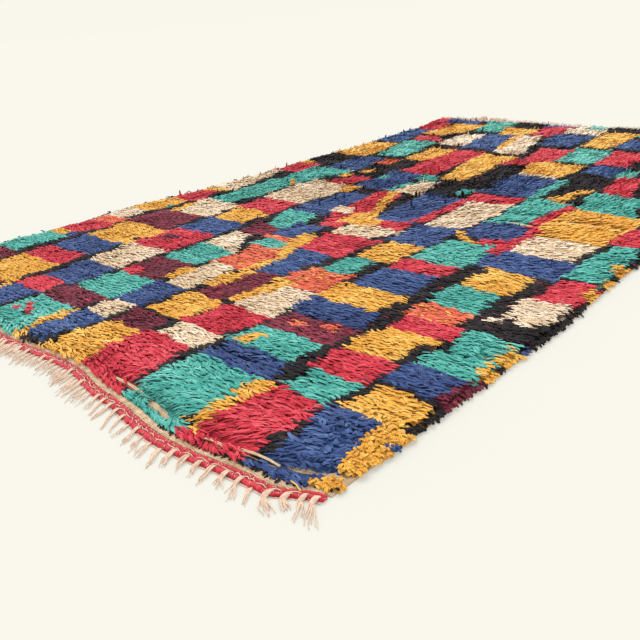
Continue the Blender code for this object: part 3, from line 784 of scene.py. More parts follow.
def lock_wool_group():
    """Colour and fibre relief of a lock. The map's columns are shades, and each cell runs from a lock's
    root at the bottom to its tip at the top."""
    n, entry, leave = new_group(
        "lock wool",
        {"Dark Yarn": (0.1, 0.1, 0.1, 1.0), "Yarn": (0.3, 0.3, 0.3, 1.0), "Pale Yarn": (0.6, 0.6, 0.6, 1.0)},
        {"Root Shade": 0.4, "Fibre Contrast": 0.3, "Groove Shade": 0.4},
        {"Colour": "NodeSocketColor", "Fibre Height": "NodeSocketFloat"},
    )
    place = n.add("ShaderNodeUVMap", {"uv_map": "OFBake"})
    split = n.add("ShaderNodeSeparateXYZ", Vector=place.outputs["UV"])
    column = n.times(split.outputs["X"], float(CARD_COLUMNS))
    row = n.times(split.outputs["Y"], float(CARD_ROWS))
    across = n.maths("FRACT", column)
    along = n.maths("FRACT", row)
    shade = n.maths("DIVIDE", n.maths("FLOOR", column), float(CARD_COLUMNS - 1))
    seed = n.plus(n.maths("FLOOR", column), n.times(n.maths("FLOOR", row), 37.3))

    darker = n.blend(n.remap(shade, 0.0, 0.5, 0.0, 1.0), entry["Dark Yarn"], entry["Yarn"])
    colour = n.blend(n.remap(shade, 0.5, 1.0, 0.0, 1.0), darker, entry["Pale Yarn"])

    # Fibres run along the lock, and a groove winds between its two strands. The groove is sunk in the relief,
    # and painted shade darkens it.
    fibre_place = n.add("ShaderNodeCombineXYZ", X=n.times(across, 7.0), Y=n.times(along, 2.2), Z=seed)
    fibres = n.noise(fibre_place.outputs[0], 1.0, 3.0, 0.6)
    crimp = n.maths("SINE", n.plus(n.times(along, 11.0), n.times(seed, 2.4)))
    strand_place = n.plus(n.times(across, 2.0), n.times(crimp, 0.20))
    strand_place = n.plus(strand_place, n.times(n.less(fibres, 0.5), 0.5))
    from_strand = n.maths("ABSOLUTE", n.less(n.maths("FRACT", strand_place), 0.5))
    groove = n.remap(from_strand, 0.34, 0.50, 0.0, 1.0)

    brightness = n.plus(1.0, n.times(n.remap(fibres, 0.3, 0.7, -1.0, 1.0), entry["Fibre Contrast"]))
    brightness = n.times(brightness, n.less(1.0, n.times(groove, entry["Groove Shade"])))
    # Painted shade: each lock is darker towards its root, where the locks over it shade it
    brightness = n.times(brightness, n.remap(along, 0.05, 0.50, entry["Root Shade"], 1.0))
    scaled = n.add("ShaderNodeVectorMath", {"operation": "SCALE"}, Scale=brightness)
    n.feed(scaled.inputs[0], colour)
    dry_tip = n.remap(along, 0.80, 1.0, 0.0, 0.04)
    n.feed(leave["Colour"], n.blend(dry_tip, scaled.outputs[0], entry["Pale Yarn"]))
    n.feed(leave["Fibre Height"], n.less(n.times(fibres, 0.5), groove))
    return n.tree


def spun_yarn_group():
    """Colour and relief of spun or woven yarn: fine threads one way, with mottled dye and painted shade
    between the threads.
    """
    n, entry, leave = new_group(
        "spun yarn",
        {"Yarn": (0.5, 0.4, 0.3, 1.0), "Shaded Yarn": (0.3, 0.2, 0.1, 1.0)},
        {"Threads Per Metre": 300.0, "Turn": 0.0, "Mottle Size": 60.0, "Mottle": 0.4},
        {"Colour": "NodeSocketColor", "Thread Height": "NodeSocketFloat"},
    )
    place = n.add("ShaderNodeTexCoord").outputs["Object"]
    turned = n.add("ShaderNodeVectorRotate", {"rotation_type": "Z_AXIS"}, Vector=place, Angle=entry["Turn"])
    split = n.add("ShaderNodeSeparateXYZ", Vector=turned.outputs[0])
    phase = n.times(split.outputs["X"], entry["Threads Per Metre"])
    phase = n.plus(phase, n.times(n.noise(place, 90.0, 2.0), 2.0))
    thread = n.remap(n.maths("SINE", n.times(phase, 2.0 * math.pi)), -1.0, 1.0, 0.0, 1.0)
    mottle = n.noise(place, entry["Mottle Size"], 4.0)
    shaded = n.times(n.remap(mottle, 0.35, 0.7, 0.0, 1.0), entry["Mottle"])
    # Painted shade darkens the hollows between threads, besides the mottled dye
    share = n.maths("ADD", shaded, n.times(n.less(1.0, thread), 0.45), clamp=True)
    n.feed(leave["Colour"], n.blend(share, entry["Yarn"], entry["Shaded Yarn"]))
    n.feed(leave["Thread Height"], n.plus(thread, n.times(n.noise(place, 1400.0, 2.0), 0.4)))
    return n.tree


def wool_material(name, group, relief, roughness, sheen, **values):
    """A wool finish: the group's colour and relief on a soft shader."""
    material = bpy.data.materials.new(name)
    material.use_nodes = True
    n = Nodes(material.node_tree)
    shader = material.node_tree.nodes["Principled BSDF"]
    shader.inputs["Roughness"].default_value = roughness
    shader.inputs["Sheen Weight"].default_value = sheen
    shader.inputs["Sheen Roughness"].default_value = 0.5
    shader.inputs["Specular IOR Level"].default_value = 0.2
    part = n.add("ShaderNodeGroup", {"node_tree": group}, **values)
    bump = n.add("ShaderNodeBump", Height=part.outputs[1], Strength=0.6, Distance=relief)
    n.feed(shader.inputs["Base Color"], part.outputs["Colour"])
    n.feed(shader.inputs["Normal"], bump.outputs["Normal"])
    return material


LOCK_WOOL = lock_wool_group()
SPUN_YARN = spun_yarn_group()


def pile_material(yarn):
    """The wool of the locks in one yarn."""
    dark, usual, pale = YARNS[yarn]
    return wool_material(
        yarn + " pile wool", LOCK_WOOL, 0.0010, 0.85, SHEEN.get(yarn, 0.07),
        Dark_Yarn=paint(dark), Yarn=paint(usual), Pale_Yarn=paint(pale),
        Root_Shade=0.64, Fibre_Contrast=0.22, Groove_Shade=0.42,
    )


def spun_material(name):
    """One of the spun yarns."""
    relief, roughness, sheen, colour, shaded, threads, turn, mottle_size, mottle = SPUN_YARNS[name]
    return wool_material(
        name, SPUN_YARN, relief, roughness, sheen, Yarn=paint(colour), Shaded_Yarn=paint(shaded),
        Threads_Per_Metre=threads, Turn=turn, Mottle_Size=mottle_size, Mottle=mottle,
    )


# Where the pile stands


def pile_room(x, y, least):
    """Top of the cloth at points of the plan, and how high the pile stands on it, at least a given height."""
    ground = cloth_top(x, y)
    return ground, np.maximum(cad_top(*lay(x, y)) - ground, least)


def cad_top(x, y):
    """Height of the CAD pile at places of the laid plan."""
    heights = np.full(len(x), CLOTH_THICKNESS)
    down = Vector((0.0, 0.0, -1.0))
    for k in range(len(x)):
        place = RUG_SOLID.ray_cast(Vector((x[k] - CENTRE[0], y[k] - CENTRE[1], 0.2)), down)[0]
        if place is not None:
            heights[k] = place.z
    return heights


def row_wobble(x, y):
    """How far the rows of knots stray from straight."""
    return 0.0022 * bumps("row drift", x, y) + 0.0009 * bumps("row jitter", x, y)


def parting_depth(x, y):
    """Share of the way to the ground at places of the plan: 1 in a parting, less beside it."""
    depth = np.zeros(len(x))
    for left, right, place, half_width in PARTINGS:
        inside = ease((x * 100.0 - left) / 1.5 + 0.5) * ease((right - x * 100.0) / 1.5 + 0.5)
        offset = np.abs(y * 100.0 - place)
        beside = 0.5 * np.exp(-((offset - half_width) / 0.8) ** 2)
        depth = np.maximum(depth, inside * np.where(offset < half_width + 0.10, 1.0, beside))
    return depth


def tousling(y):
    """Share of the change from the combed near part of the pile to the tousled far part."""
    return ease((y - COMBED_UP_TO) / TOUSLED_OVER)


def habit(name, tousle):
    """The value of a habit of the locks at each share of tousling."""
    combed, tousled = LOCK_HABITS[name]
    return combed + (tousled - combed) * tousle


def near_end(y, reach):
    """Share from 1 at the foot of the pile to 0 at a distance from it."""
    return np.clip(1.0 - (y - PILE_NEAR) / reach, 0.0, 1.0)


def standing(x, y, tousle):
    """How upright the locks stand: combed flat along the rows near the band, tousled at the far end."""
    upright = habit("upright", tousle) + 0.10 * bumps("upright", x, y) + 0.08 * bumps("upright close", x, y)
    return np.clip(upright, -0.05, 0.85)


def combing(x, y, tousle, knots, rng):
    """Heading from the row, curl, and shares of the usual length and width at each lock; knots says
    which knot each lock belongs to."""
    count = knots.max() + 1
    patch = bumps("combed patch", x, y)
    own = rng.normal(0.0, 1.0, count)[knots]
    chance = 0.35 * rng.uniform(0, 1, count)[knots]
    chance = chance + 0.65 * np.clip(0.5 + 0.9 * bumps("combed place", x, y), 0.0, 1.0)
    ragged_x = 0.010 * rng.normal(0.0, 1.0, count)[knots]
    ragged_y = 0.004 * rng.normal(0.0, 1.0, count)[knots]
    heading = -2.0 + habit("patch heading", tousle) * patch + habit("knot heading", tousle) * own
    curl, length, width = (habit(name, tousle) for name in ("curl", "length", "width"))
    for left, right, near, far, way, patches, strays, bend, long, wide, share in COMBING:
        inside = (x + ragged_x >= left) & (x + ragged_x < right) & (chance <= share)
        inside &= (y >= near) & (y + ragged_y < far)
        heading = np.where(inside, way + patches * patch + strays * own, heading)
        curl = np.where(inside, bend, curl)
        length = np.where(inside, long, length)
        width = np.where(inside, wide, width)
    return heading, curl, length, width


def knot_grid(rng, zone):
    """Row, knot and place in the knot (-1 to 1) of every lock of a zone, and where it is rooted."""
    rows = np.nonzero((ROWS >= zone.near) & (ROWS < zone.far))[0]
    knots = int((RUG_WIDTH - 2 * SELVEDGE_WIDTH) / zone.knot_pitch)
    grid = np.meshgrid(rows, np.arange(knots), np.arange(zone.locks_a_knot), indexing="ij")
    row, knot, lane = (a.ravel() for a in grid)
    which = (row - rows[0]) * knots + knot
    count = len(row)
    shift = rng.uniform(-0.5, 0.5, len(rows))[row - rows[0]]
    aside = 2.0 * (lane + 0.5) / zone.locks_a_knot - 1.0 + rng.uniform(-1.1, 1.1, count) / zone.locks_a_knot
    step = 0.5 + 0.5 * shift + 0.2 * rng.uniform(-1.0, 1.0, len(rows) * knots)[which]
    step = step + rng.uniform(-0.4, 0.4, count)
    x = np.clip(SELVEDGE_WIDTH + (knot + step) * zone.knot_pitch, SELVEDGE_WIDTH, RUG_WIDTH - SELVEDGE_WIDTH)
    y = ROWS[row] + aside * KNOT_REACH
    return row, which, aside, x, y + row_wobble(x, y)


def crest_height(x, y, aside, room, sunk, on_end):
    """How high over the cloth the locks reach, by their places and the CAD pile's height."""
    crest = room * (0.98 - 0.20 * aside ** 2 + 0.10 * bumps("crest", x, y)) * (1.0 - 0.45 * sunk)
    # The far left corner stands up, and the pile is lower behind the bare patch at the near right
    crest = crest + 0.008 * ease((0.16 - x) / 0.12) * ease((y - 2.20) / 0.12)
    crest = np.where(on_end, crest + 0.003, crest) * (1.0 - DROOP_LOSS * near_end(y, DROOP_REACH))
    return crest * (1.0 - 0.30 * near_end(y, 0.030) * ease((x - 0.90) / 0.10))


def root_shift(rng, x, y, heading, reach, sunk):
    """How far roots are set back, so that the middle of each lock lies over its knot and no tip leaves
    the rug."""
    count = len(x)
    back = reach * 0.45 * np.clip(x / 0.03, 0.0, 1.0) * np.clip((y - FIRST_ROWS) / 0.012, 0.0, 1.0)
    back = back * (1.0 - np.minimum(2.0 * sunk, 1.0))
    tip_x, tip_y = (reach - back) * np.cos(heading), (reach - back) * np.sin(heading)
    root_x, root_y = -back * np.cos(heading), -back * np.sin(heading)
    right = RUG_WIDTH + rng.uniform(-0.009, 0.001, count)
    near = PILE_NEAR - (read_table(HEM_COVER, x) + rng.uniform(-0.002, 0.002, count))
    far = PILE_END + rng.uniform(0.002, 0.009, count)
    root_x = root_x - np.maximum(x + tip_x - right, 0.0)
    short = np.maximum(near - (y + tip_y), 0.0)
    return root_x, root_y + short - np.maximum(y + tip_y + short - far, 0.0)


def lock_paths(rng, zone):
    """Root, heading, tilt, length and width of every lock of a zone of the pile."""
    row, which, aside, x, y = knot_grid(rng, zone)
    count = len(row)
    laid_x, laid_y = lay(x, y)
    beside_x, beside_y = lay(x + 0.004, y)
    row_turn = np.degrees(np.arctan2(beside_y - laid_y, beside_x - laid_x))
    ground, room = pile_room(x, y, 0.009)

    tousle = tousling(y)
    upright = standing(x, y, tousle) + rng.normal(0.0, habit("upright stray", tousle), count)
    tilt_root = habit("root tilt", tousle) - ROOT_RISE * upright + rng.normal(0.0, 5.0, count)
    tilt_tip = TIP_TILT - TIP_RISE * upright + rng.normal(0.0, 6.0, count)
    heading, curl, long, wide = combing(x, y, tousle, which, rng)
    heading = row_turn + heading + rng.normal(0.0, 1.0, count) * habit("lock heading", tousle) + aside * 4.0
    curl = curl * rng.normal(0.0, 1.0, count)
    sway = curl + habit("sway", tousle) * bumps("sway", x, y)
    # Now and then a lock stands on end, and more often in ruffled places
    ruffled = np.zeros(count, bool)
    for left, right, near, far in RUFFLED:
        ruffled |= (x > left) & (x < right) & (y > near) & (y < far)
    on_end = rng.uniform(0.0, 1.0, count) < habit("on end", tousle) + 0.12 * ruffled
    tilt_root = np.where(on_end, 14.0, tilt_root)
    tilt_tip = np.where(on_end, rng.uniform(5.0, 40.0, count), tilt_tip)
    tilt_root = np.radians(tilt_root + DROOP_ROOT * near_end(y, DROOP_REACH))
    tilt_tip = np.radians(np.clip(tilt_tip + DROOP_TIP * near_end(y, DROOP_REACH), 8.0, 150.0))

    length = zone.length * long * np.clip(rng.normal(1.0, 0.14, count), 0.65, 1.4)
    rise = 0.0
    for before, after in zip(zone.stations, zone.stations[1:]):
        bend = np.cos(tilt_root + (tilt_tip - tilt_root) * 0.5 * (before + after))
        rise = rise + length * (after - before) * np.maximum(bend, 0.0)
    sunk = parting_depth(x, y)
    root_z = ground + np.maximum(crest_height(x, y, aside, room, sunk, on_end) - rise, -0.0005)
    heading = np.radians(heading)
    reach = length * np.sin(0.5 * (tilt_root + tilt_tip))
    root_x, root_y = root_shift(rng, x, y, heading, reach, sunk)

    # Painted shade: locks at the sides of a row and in partings take darker shades, as if their neighbours
    # shaded them
    locks = {
        "x": laid_x + root_x, "y": laid_y + root_y, "z": root_z, "row": row, "heading": heading,
        "curl": np.radians(curl), "sway": np.radians(sway + rng.normal(0.0, 12.0, count)),
        "tilt_root": tilt_root, "tilt_tip": tilt_tip, "length": length,
        "width": zone.width * wide * rng.uniform(0.75, 1.25, count), "painted_shade_and_tone": 0.12 * aside ** 2 + 0.10 * sunk,
    }
    return {key: value[sunk < 0.9] for key, value in locks.items()}


def loose_locks(rng, kind, places, row, way=0.0):
    """Locks that lie by themselves at given roots, turned by the kind's row of the table."""
    locks = dict(zip(("x", "y", "z"), places))
    locks["row"] = row
    for part, habits in zip(("heading", "curl", "sway", "tilt_root", "tilt_tip"), LOOSE_LOCKS[kind]):
        drawn = rng.normal(*habits, len(row)) if habits else np.zeros(len(row))
        locks[part] = np.radians(way + drawn if part == "heading" else drawn)
    return locks


def side_locks(rng, side, way, locks_a_row, long, wide, least):
    """Locks that hang over one side edge of the rug down to the floor."""
    row = np.repeat(np.arange(len(ROWS)), locks_a_row)
    count = len(row)
    inwards = 1.0 if way else -1.0
    y = ROWS[row] + rng.uniform(-0.45, 0.45, count) * ROW_PITCH
    x = side + inwards * rng.uniform(0.001, 0.012, count)
    lump = bumps("side lumps", x + way, y)
    laid_x, laid_y = lay(x, y)
    room = np.maximum(cad_top(laid_x - 0.004 * inwards, laid_y) - cloth_top(x, y), 0.006)
    z = cloth_top(x, y) + room * rng.uniform(0.10, 0.62, count)
    locks = loose_locks(rng, "side", (laid_x, laid_y, z), row, way)
    locks["length"] = long * (1.0 + 0.30 * lump) * rng.uniform(0.75, 1.2, count)
    locks["width"] = wide * rng.uniform(0.8, 1.2, count)
    locks["painted_shade_and_tone"] = np.full(count, 0.05)
    kept = (lump > least) & (parting_depth(x, y) < 0.6)
    return {key: value[kept] for key, value in locks.items()}


def border_locks(rng, count=900):
    """Short curled locks of the border at the near right corner, which turn every way."""
    x, y = rng.uniform(1.455, 1.499, count), rng.uniform(0.034, 0.200, count)
    ground, room = pile_room(x, y, 0.008)
    z = ground + room * rng.uniform(0.45, 0.95, count) - 0.002
    locks = loose_locks(rng, "border", (*lay(x, y), z), (y / ROW_PITCH).astype(int))
    locks["length"] = rng.uniform(0.010, 0.0165, count)
    locks["width"] = rng.uniform(0.0040, 0.0060, count)
    locks["painted_shade_and_tone"] = 0.10 * rng.uniform(0.0, 1.0, count)
    kept = parting_depth(x, y) < 0.5
    return {key: value[kept] for key, value in locks.items()}


def foot_locks(rng, count=110):
    """Short clipped knots at the foot of the pile, where it stops short of the band."""
    x, y = rng.uniform(1.17, 1.475, count), PILE_NEAR + rng.uniform(-0.001, 0.005, count)
    z = cloth_top(x, y) + rng.uniform(0.0, 0.002, count)
    locks = loose_locks(rng, "foot", (*lay(x, y), z), np.zeros(count, int))
    locks["length"] = rng.uniform(0.006, 0.010, count)
    locks["width"] = rng.uniform(0.0026, 0.0042, count)
    locks["painted_shade_and_tone"] = np.zeros(count)
    return locks


# The shape of the locks and of the packed wool under them


def lock_points(locks, zone):
    """Points of each lock: two at the root, then left, ridge and right at each station, and the tip. Also
    the place by which it takes its yarn."""
    count = len(locks["x"])
    centre = np.stack([locks["x"], locks["y"], locks["z"]], axis=1)
    places = [centre]
    for before, after in zip(zone.stations, zone.stations[1:]):
        middle = 0.5 * (before + after)
        tilt = locks["tilt_root"] + (locks["tilt_tip"] - locks["tilt_root"]) * middle
        tilt = tilt + (0.35 if before >= 0.9 else 0.0)
        heading = locks["heading"] + locks["curl"] * (middle - 0.3) + locks["sway"] * math.cos(6.0 * middle)
        step = locks["length"] * (after - before)
        level = np.sin(tilt)
        along = np.stack([np.cos(heading) * level, np.sin(heading) * level, np.cos(tilt)], axis=1)
        centre = centre + along * step[:, None]
        centre[:, 2] = np.maximum(centre[:, 2], 0.0014)
        places.append(centre)
    points = []
    for k, share in enumerate(zone.fullness):
        along = places[k + 1] - places[max(k - 1, 0)]
        side = np.stack([along[:, 1], -along[:, 0], np.zeros(count)], axis=1)
        side /= np.linalg.norm(side, axis=1, keepdims=True) + 1e-9
        up = np.cross(side, along)
        up /= np.linalg.norm(up, axis=1, keepdims=True) + 1e-9
        wide = (0.5 * locks["width"] * share)[:, None]
        ridge = [places[k] + up * (LOCK_RIDGE * wide)] if k else []
        points += [places[k] - side * wide] + ridge + [places[k] + side * wide]
    points = np.stack(points + [places[-1]], axis=1)
    points[..., 2] = np.clip(points[..., 2], LOCK_FLOOR, PILE_CEILING)
    after = int(np.searchsorted(zone.stations, LOCK_SEEN))
    start, end = zone.stations[after - 1], zone.stations[after]
    share = (LOCK_SEEN - start) / (end - start)
    return points, places[after - 1] * (1.0 - share) + places[after] * share


def lock_faces(rings):
    """Triangles of a lock with that many rings of three points between its root and its tip."""
    faces = [(0, 3, 2), (0, 1, 3), (1, 4, 3)]
    for ring in range(rings - 1):
        a, b = 2 + 3 * ring, 5 + 3 * ring
        faces += [(a, a + 1, b + 1), (a, b + 1, b), (a + 1, a + 2, b + 2), (a + 1, b + 2, b + 1)]
    last = 2 + 3 * (rings - 1)
    return np.array(faces + [(last, last + 1, last + 3), (last + 1, last + 2, last + 3)])


def lock_map(shade, variant, stations):
    """Places of a lock's points in its cell of the map."""
    rings = len(stations) - 2
    across = np.array([0.0, 1.0] + rings * [0.0, 0.5, 1.0] + [0.5])
    along = np.array([0.0, 0.0] + [stations[1 + k // 3] for k in range(3 * rings)] + [1.0])
    return card_places(shade, variant, across, along)


def card_places(shade, variant, across, along):
    """Places in the cell of each shade and variant of the map."""
    span = 1.0 - 2.0 * CARD_MARGIN
    u = (shade[:, None] + CARD_MARGIN + span * across[None, :]) / CARD_COLUMNS
    v = (variant[:, None] + CARD_MARGIN + span * along[None, :]) / CARD_ROWS
    return np.stack([u, v], axis=2)


def bed_cells():
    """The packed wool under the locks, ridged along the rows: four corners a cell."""
    rng = np.random.RandomState(6)
    columns = int((RUG_WIDTH - 2 * SELVEDGE_WIDTH) / BED_STEP) + 1
    xs = np.linspace(SELVEDGE_WIDTH, RUG_WIDTH - SELVEDGE_WIDTH, columns)
    combed = np.array([share for _ in ROWS for _, share, _ in BED_SECTION] + [0.0])
    tousled = np.array([share for _ in ROWS for _, _, share in BED_SECTION] + [0.0])
    ys = [place + step * ROW_PITCH for place in ROWS for step, _, _ in BED_SECTION]
    ys = np.array(ys + [ROWS[-1] + 0.5 * ROW_PITCH])
    x, y = (a.ravel() for a in np.meshgrid(xs, ys))
    tousle = tousling(y)
    share = np.repeat(combed, columns) * (1.0 - tousle) + np.repeat(tousled, columns) * tousle
    share = share + 0.05 * rng.normal(0.0, 1.0, len(x))
    rim = (x < xs[1] - 1e-6) | (x > xs[-2] + 1e-6) | (np.arange(len(x)) < columns)
    x = x + np.where(rim, 0.0, rng.uniform(-0.3, 0.3, len(x)) * BED_STEP)
    y = y + row_wobble(x, y)
    ground, room = pile_room(x, y, 0.004)
    sunk = parting_depth(x, y)
    from_side = np.minimum(np.minimum(x, RUG_WIDTH - x), y - PILE_NEAR + 0.006)
    share = share * (0.30 + 0.70 * ease(from_side / 0.045))
    lift = np.maximum(room * share * (1.0 - np.minimum(1.2 * sunk, 1.0)), 0.0)
    z = ground + np.where(rim, 0.0, lift) - np.where(sunk > 0.9, 0.0006, 0.0)
    points = np.stack([*lay(x, y), z], axis=1)
    corner = (np.arange(len(ys) - 1)[:, None] * columns + np.arange(columns - 1)[None, :]).ravel()
    return points[np.stack([corner, corner + 1, corner + columns + 1, corner + columns], axis=1)]


# The pile's yarns


def block_yarns(x, y):
    """The name of the yarn at each place, given in centimetres."""
    found = np.full(len(x), "black", dtype=object)
    for yarn, near, far, left_near, right_near, left_far, right_far in BLOCKS + STREAKS:
        share = (y - near) / (far - near)
        left = left_near + (left_far - left_near) * share
        right = right_near + (right_far - right_near) * share
        spread = FAR_SPREAD if near > FAR_BLOCKS else 0.0
        found[(share >= 0) & (share < 1) & (x >= left - spread) & (x < right + spread)] = yarn
    return found


def wandering_yarns(x, y, rng):
    """The yarn at each place, with uneven edges between the blocks."""
    count = len(x)
    side = 0.7 * bumps("block side", x, y) + 0.45 * bumps("block side close", x, y)
    side = side + rng.normal(0.0, 0.18, count)
    end = 0.5 * bumps("block end", x, y) + 0.25 * bumps("block end close", x, y)
    end = end + rng.normal(0.0, 0.16, count)
    yarns = block_yarns(x * 100.0 + side, y * 100.0 + end)
    chance = rng.uniform(0.0, 1.0, count)
    mixed = yarns.copy()
    for yarn, odd, share in MIXED_IN:
        mixed[(yarns == yarn) & (chance < share)] = odd
    return mixed


def yarn_shade(x, y, row, painted_shade_and_tone, rng):
    """The map's column for wool at each place: whole rows, patches and single locks differ. Painted shade
    darkens some locks, and painted light makes the far part paler.
    """
    rows = np.random.RandomState(8).normal(0.0, 1.0, row.max() + 1)
    # Painted light: the far part of the pile is made paler, to offset the shade of its upright locks
    shade = 0.53 + 0.23 * ease((y - 1.1) / 0.8) + 0.05 * rows[row] + 0.14 * bumps("dye", x, y)
    shade = shade + rng.normal(0.0, 0.12, len(x)) - painted_shade_and_tone
    return np.clip((shade * CARD_COLUMNS).astype(int), 0, CARD_COLUMNS - 1)


def build_pile():
    """The locks of the pile on their packed wool, one piece for each yarn in each zone."""
    rng = np.random.RandomState(5)
    cells = bed_cells()
    cell_x, cell_y = cells[..., 0].mean(axis=1), cells[..., 1].mean(axis=1)
    cell_yarns = wandering_yarns(cell_x, cell_y, rng)
    cell_row = np.clip((cell_y / ROW_PITCH).astype(int), 0, None)
    # Painted shade: the wool under the locks takes darker shades and partly the root's painted shade, so that
    # gaps between locks read as shadow
    cell_maps = card_places(
        yarn_shade(cell_x, cell_y, cell_row, 0.10, rng), rng.randint(0, CARD_ROWS, len(cells)),
        np.array([0.0, 0.0, 1.0, 1.0]), np.array([0.36, 0.94, 0.94, 0.36]),
    )
    materials = {yarn: pile_material(yarn) for yarn in YARNS}
    for zone in PILE_ZONES:
        sets = [lock_paths(rng, zone)]
        feet = 0
        if zone is PILE_ZONES[0]:
            sets += [side_locks(rng, *row) for row in SIDE_LOCKS]
            sets += [border_locks(rng), foot_locks(rng)]
            feet = len(sets[-1]["x"])
        locks = {key: np.concatenate([one[key] for one in sets]) for key in sets[0]}
        points, seen = lock_points(locks, zone)
        x, y = seen[:, 0], seen[:, 1]
        yarns = wandering_yarns(x, y, rng)
        yarns[len(yarns) - feet:] = "black"
        shades = yarn_shade(x, y, locks["row"], locks["painted_shade_and_tone"], rng)
        maps = lock_map(shades, rng.randint(0, CARD_ROWS, len(x)), zone.stations)
        faces = lock_faces(len(zone.stations) - 2)
        in_zone = (cell_y >= zone.near) & (cell_y < zone.far)
        for yarn, material in materials.items():
            some = np.nonzero(yarns == yarn)[0]
            bed = np.nonzero((cell_yarns == yarn) & in_zone)[0]
            starts = points.shape[1] * np.arange(len(some))
            lock_triangles = (faces[None] + starts[:, None, None]).reshape(-1, 3)
            bed_quads = points.shape[1] * len(some) + np.arange(4 * len(bed)).reshape(-1, 4)
            make_piece(
                "pile_" + yarn + "_" + zone.name,
                np.concatenate([points[some].reshape(-1, 3), cells[bed].reshape(-1, 3)]),
                lock_triangles.tolist() + bed_quads.tolist(), material, "pile_wool",
                uv=np.concatenate([maps[some].reshape(-1, 2), cell_maps[bed].reshape(-1, 2)]),
                stands_for="rug",
            )


# The woven ground and the red end band


def grid_faces(columns, rows, start=0, flip=False):
    """Quads of a grid of points that is numbered row by row."""
    corner = (start + np.arange(rows - 1)[:, None] * columns + np.arange(columns - 1)[None, :]).ravel()
    quads = np.stack([corner, corner + 1, corner + columns + 1, corner + columns], axis=1)
    return (quads[:, ::-1] if flip else quads).tolist()


def build_ground():
    """The woven ground cloth, with a thin hem at each end and its underside on the floor."""
    columns, rows = 61, 97
    xs, ys = np.linspace(0.0, RUG_WIDTH, columns), np.linspace(CLOTH_NEAR, CLOTH_FAR, rows)
    x, y = (a.ravel() for a in np.meshgrid(xs, ys))
    top = np.stack([*lay(x, y), cloth_top(x, y) + 0.0003 * bumps("weave", x, y)], axis=1)
    under = np.stack([*lay(x, y), ripple_height(x, y) + 0.0001], axis=1)
    count = len(top)
    faces = grid_faces(columns, rows) + grid_faces(columns, rows, start=count, flip=True)
    rim = list(range(columns)) + [columns * (j + 1) - 1 for j in range(1, rows)]
    rim += list(range(count - 2, count - columns - 1, -1)) + [columns * j for j in range(rows - 2, 0, -1)]
    for a, b in zip(rim, rim[1:] + rim[:1]):
        faces.append((b, a, a + count, b + count))
    weave = spun_material("undyed ground weave")
    points = np.concatenate([top, under])
    piece = make_piece("ground_weave", points, faces, weave, "pile_wool", stands_for="rug")


def tube(paths, radii, sides, flats=None):
    """Points and faces of a closed tube along each path of (stations, 3); flats says how flat each is."""
    points, faces = [], []
    angles = 2.0 * math.pi * (np.arange(sides) + 0.5) / sides
    aside, above = np.cos(angles)[None, :, None], np.sin(angles)[None, :, None]
    start = 0
    for number, (path, radius) in enumerate(zip(paths, radii)):
        along = np.gradient(path, axis=0)
        along /= np.linalg.norm(along, axis=1, keepdims=True)
        side = np.stack([along[:, 1], -along[:, 0], np.zeros(len(path))], axis=1)
        side /= np.linalg.norm(side, axis=1, keepdims=True) + 1e-9
        up = np.cross(side, along) * (flats[number] if flats else 1.0)
        ring = aside * side[:, None, :] + above * up[:, None, :]
        ring = path[:, None, :] + ring * np.asarray(radius)[:, None, None]
        points.append(ring.reshape(-1, 3))
        for j in range(len(path) - 1):
            for i in range(sides):
                a, b = start + j * sides + i, start + j * sides + (i + 1) % sides
                faces.append((a, b, b + sides, a + sides))
        last = start + (len(path) - 1) * sides
        faces.append(tuple(start + i for i in range(sides - 1, -1, -1)))
        faces.append(tuple(last + i for i in range(sides)))
        start = last + sides
    points = np.concatenate(points)
    points[:, 2] = np.maximum(points[:, 2], 0.0002)
    return points, faces


def laid_path(x, y, z):
    """A path over the floor from places in the plan and heights."""
    laid_x, laid_y = lay(x, y)
    return np.stack([laid_x, laid_y, np.broadcast_to(z, laid_x.shape)], axis=1)


def end_taper(x):
    """Share of the band's width that is left near its rounded ends."""
    inset = np.clip(np.minimum(x, RUG_WIDTH - x) / BAND_END_ROUNDING, 0.0, 1.0)
    return np.sqrt(1.0 - (1.0 - inset) ** 2)


def twined_stitches():
    """Paths, radii and flatness of the stitches in the band's two rows."""
    rng = np.random.RandomState(61)
    paths, radii, flats = [], [], []
    for place, turn, half_length, half_width, flat, pitch in TWINED_ROWS:
        x = 0.5 * pitch
        while x < RUG_WIDTH - 0.3 * pitch:
            share = 0.5 + (place - 0.5) * float(end_taper(x))
            middle = BAND_WIDTH * share + rng.uniform(-0.0008, 0.0008)
            angle = math.radians(turn + rng.uniform(-14.0, 14.0))
            reach = half_length * rng.uniform(0.85, 1.15) * np.array([-1.0, -0.55, 0.55, 1.0])
            size = half_width * rng.uniform(0.76, 1.14)
            height = 0.0031 + np.array([-0.0012, 0.0003, 0.0003, -0.0012]) + rng.uniform(-0.0006, 0.0006)
            stitch_x = np.clip(x + reach * math.cos(angle), 0.0015, RUG_WIDTH - 0.0015)
            paths.append(laid_path(stitch_x, middle + reach * math.sin(angle), height))
            radii.append(size * np.array([0.35, 0.95, 1.0, 0.40]))
            flats.append(flat)
            x += pitch * rng.uniform(0.90, 1.10)
    return paths, radii, flats


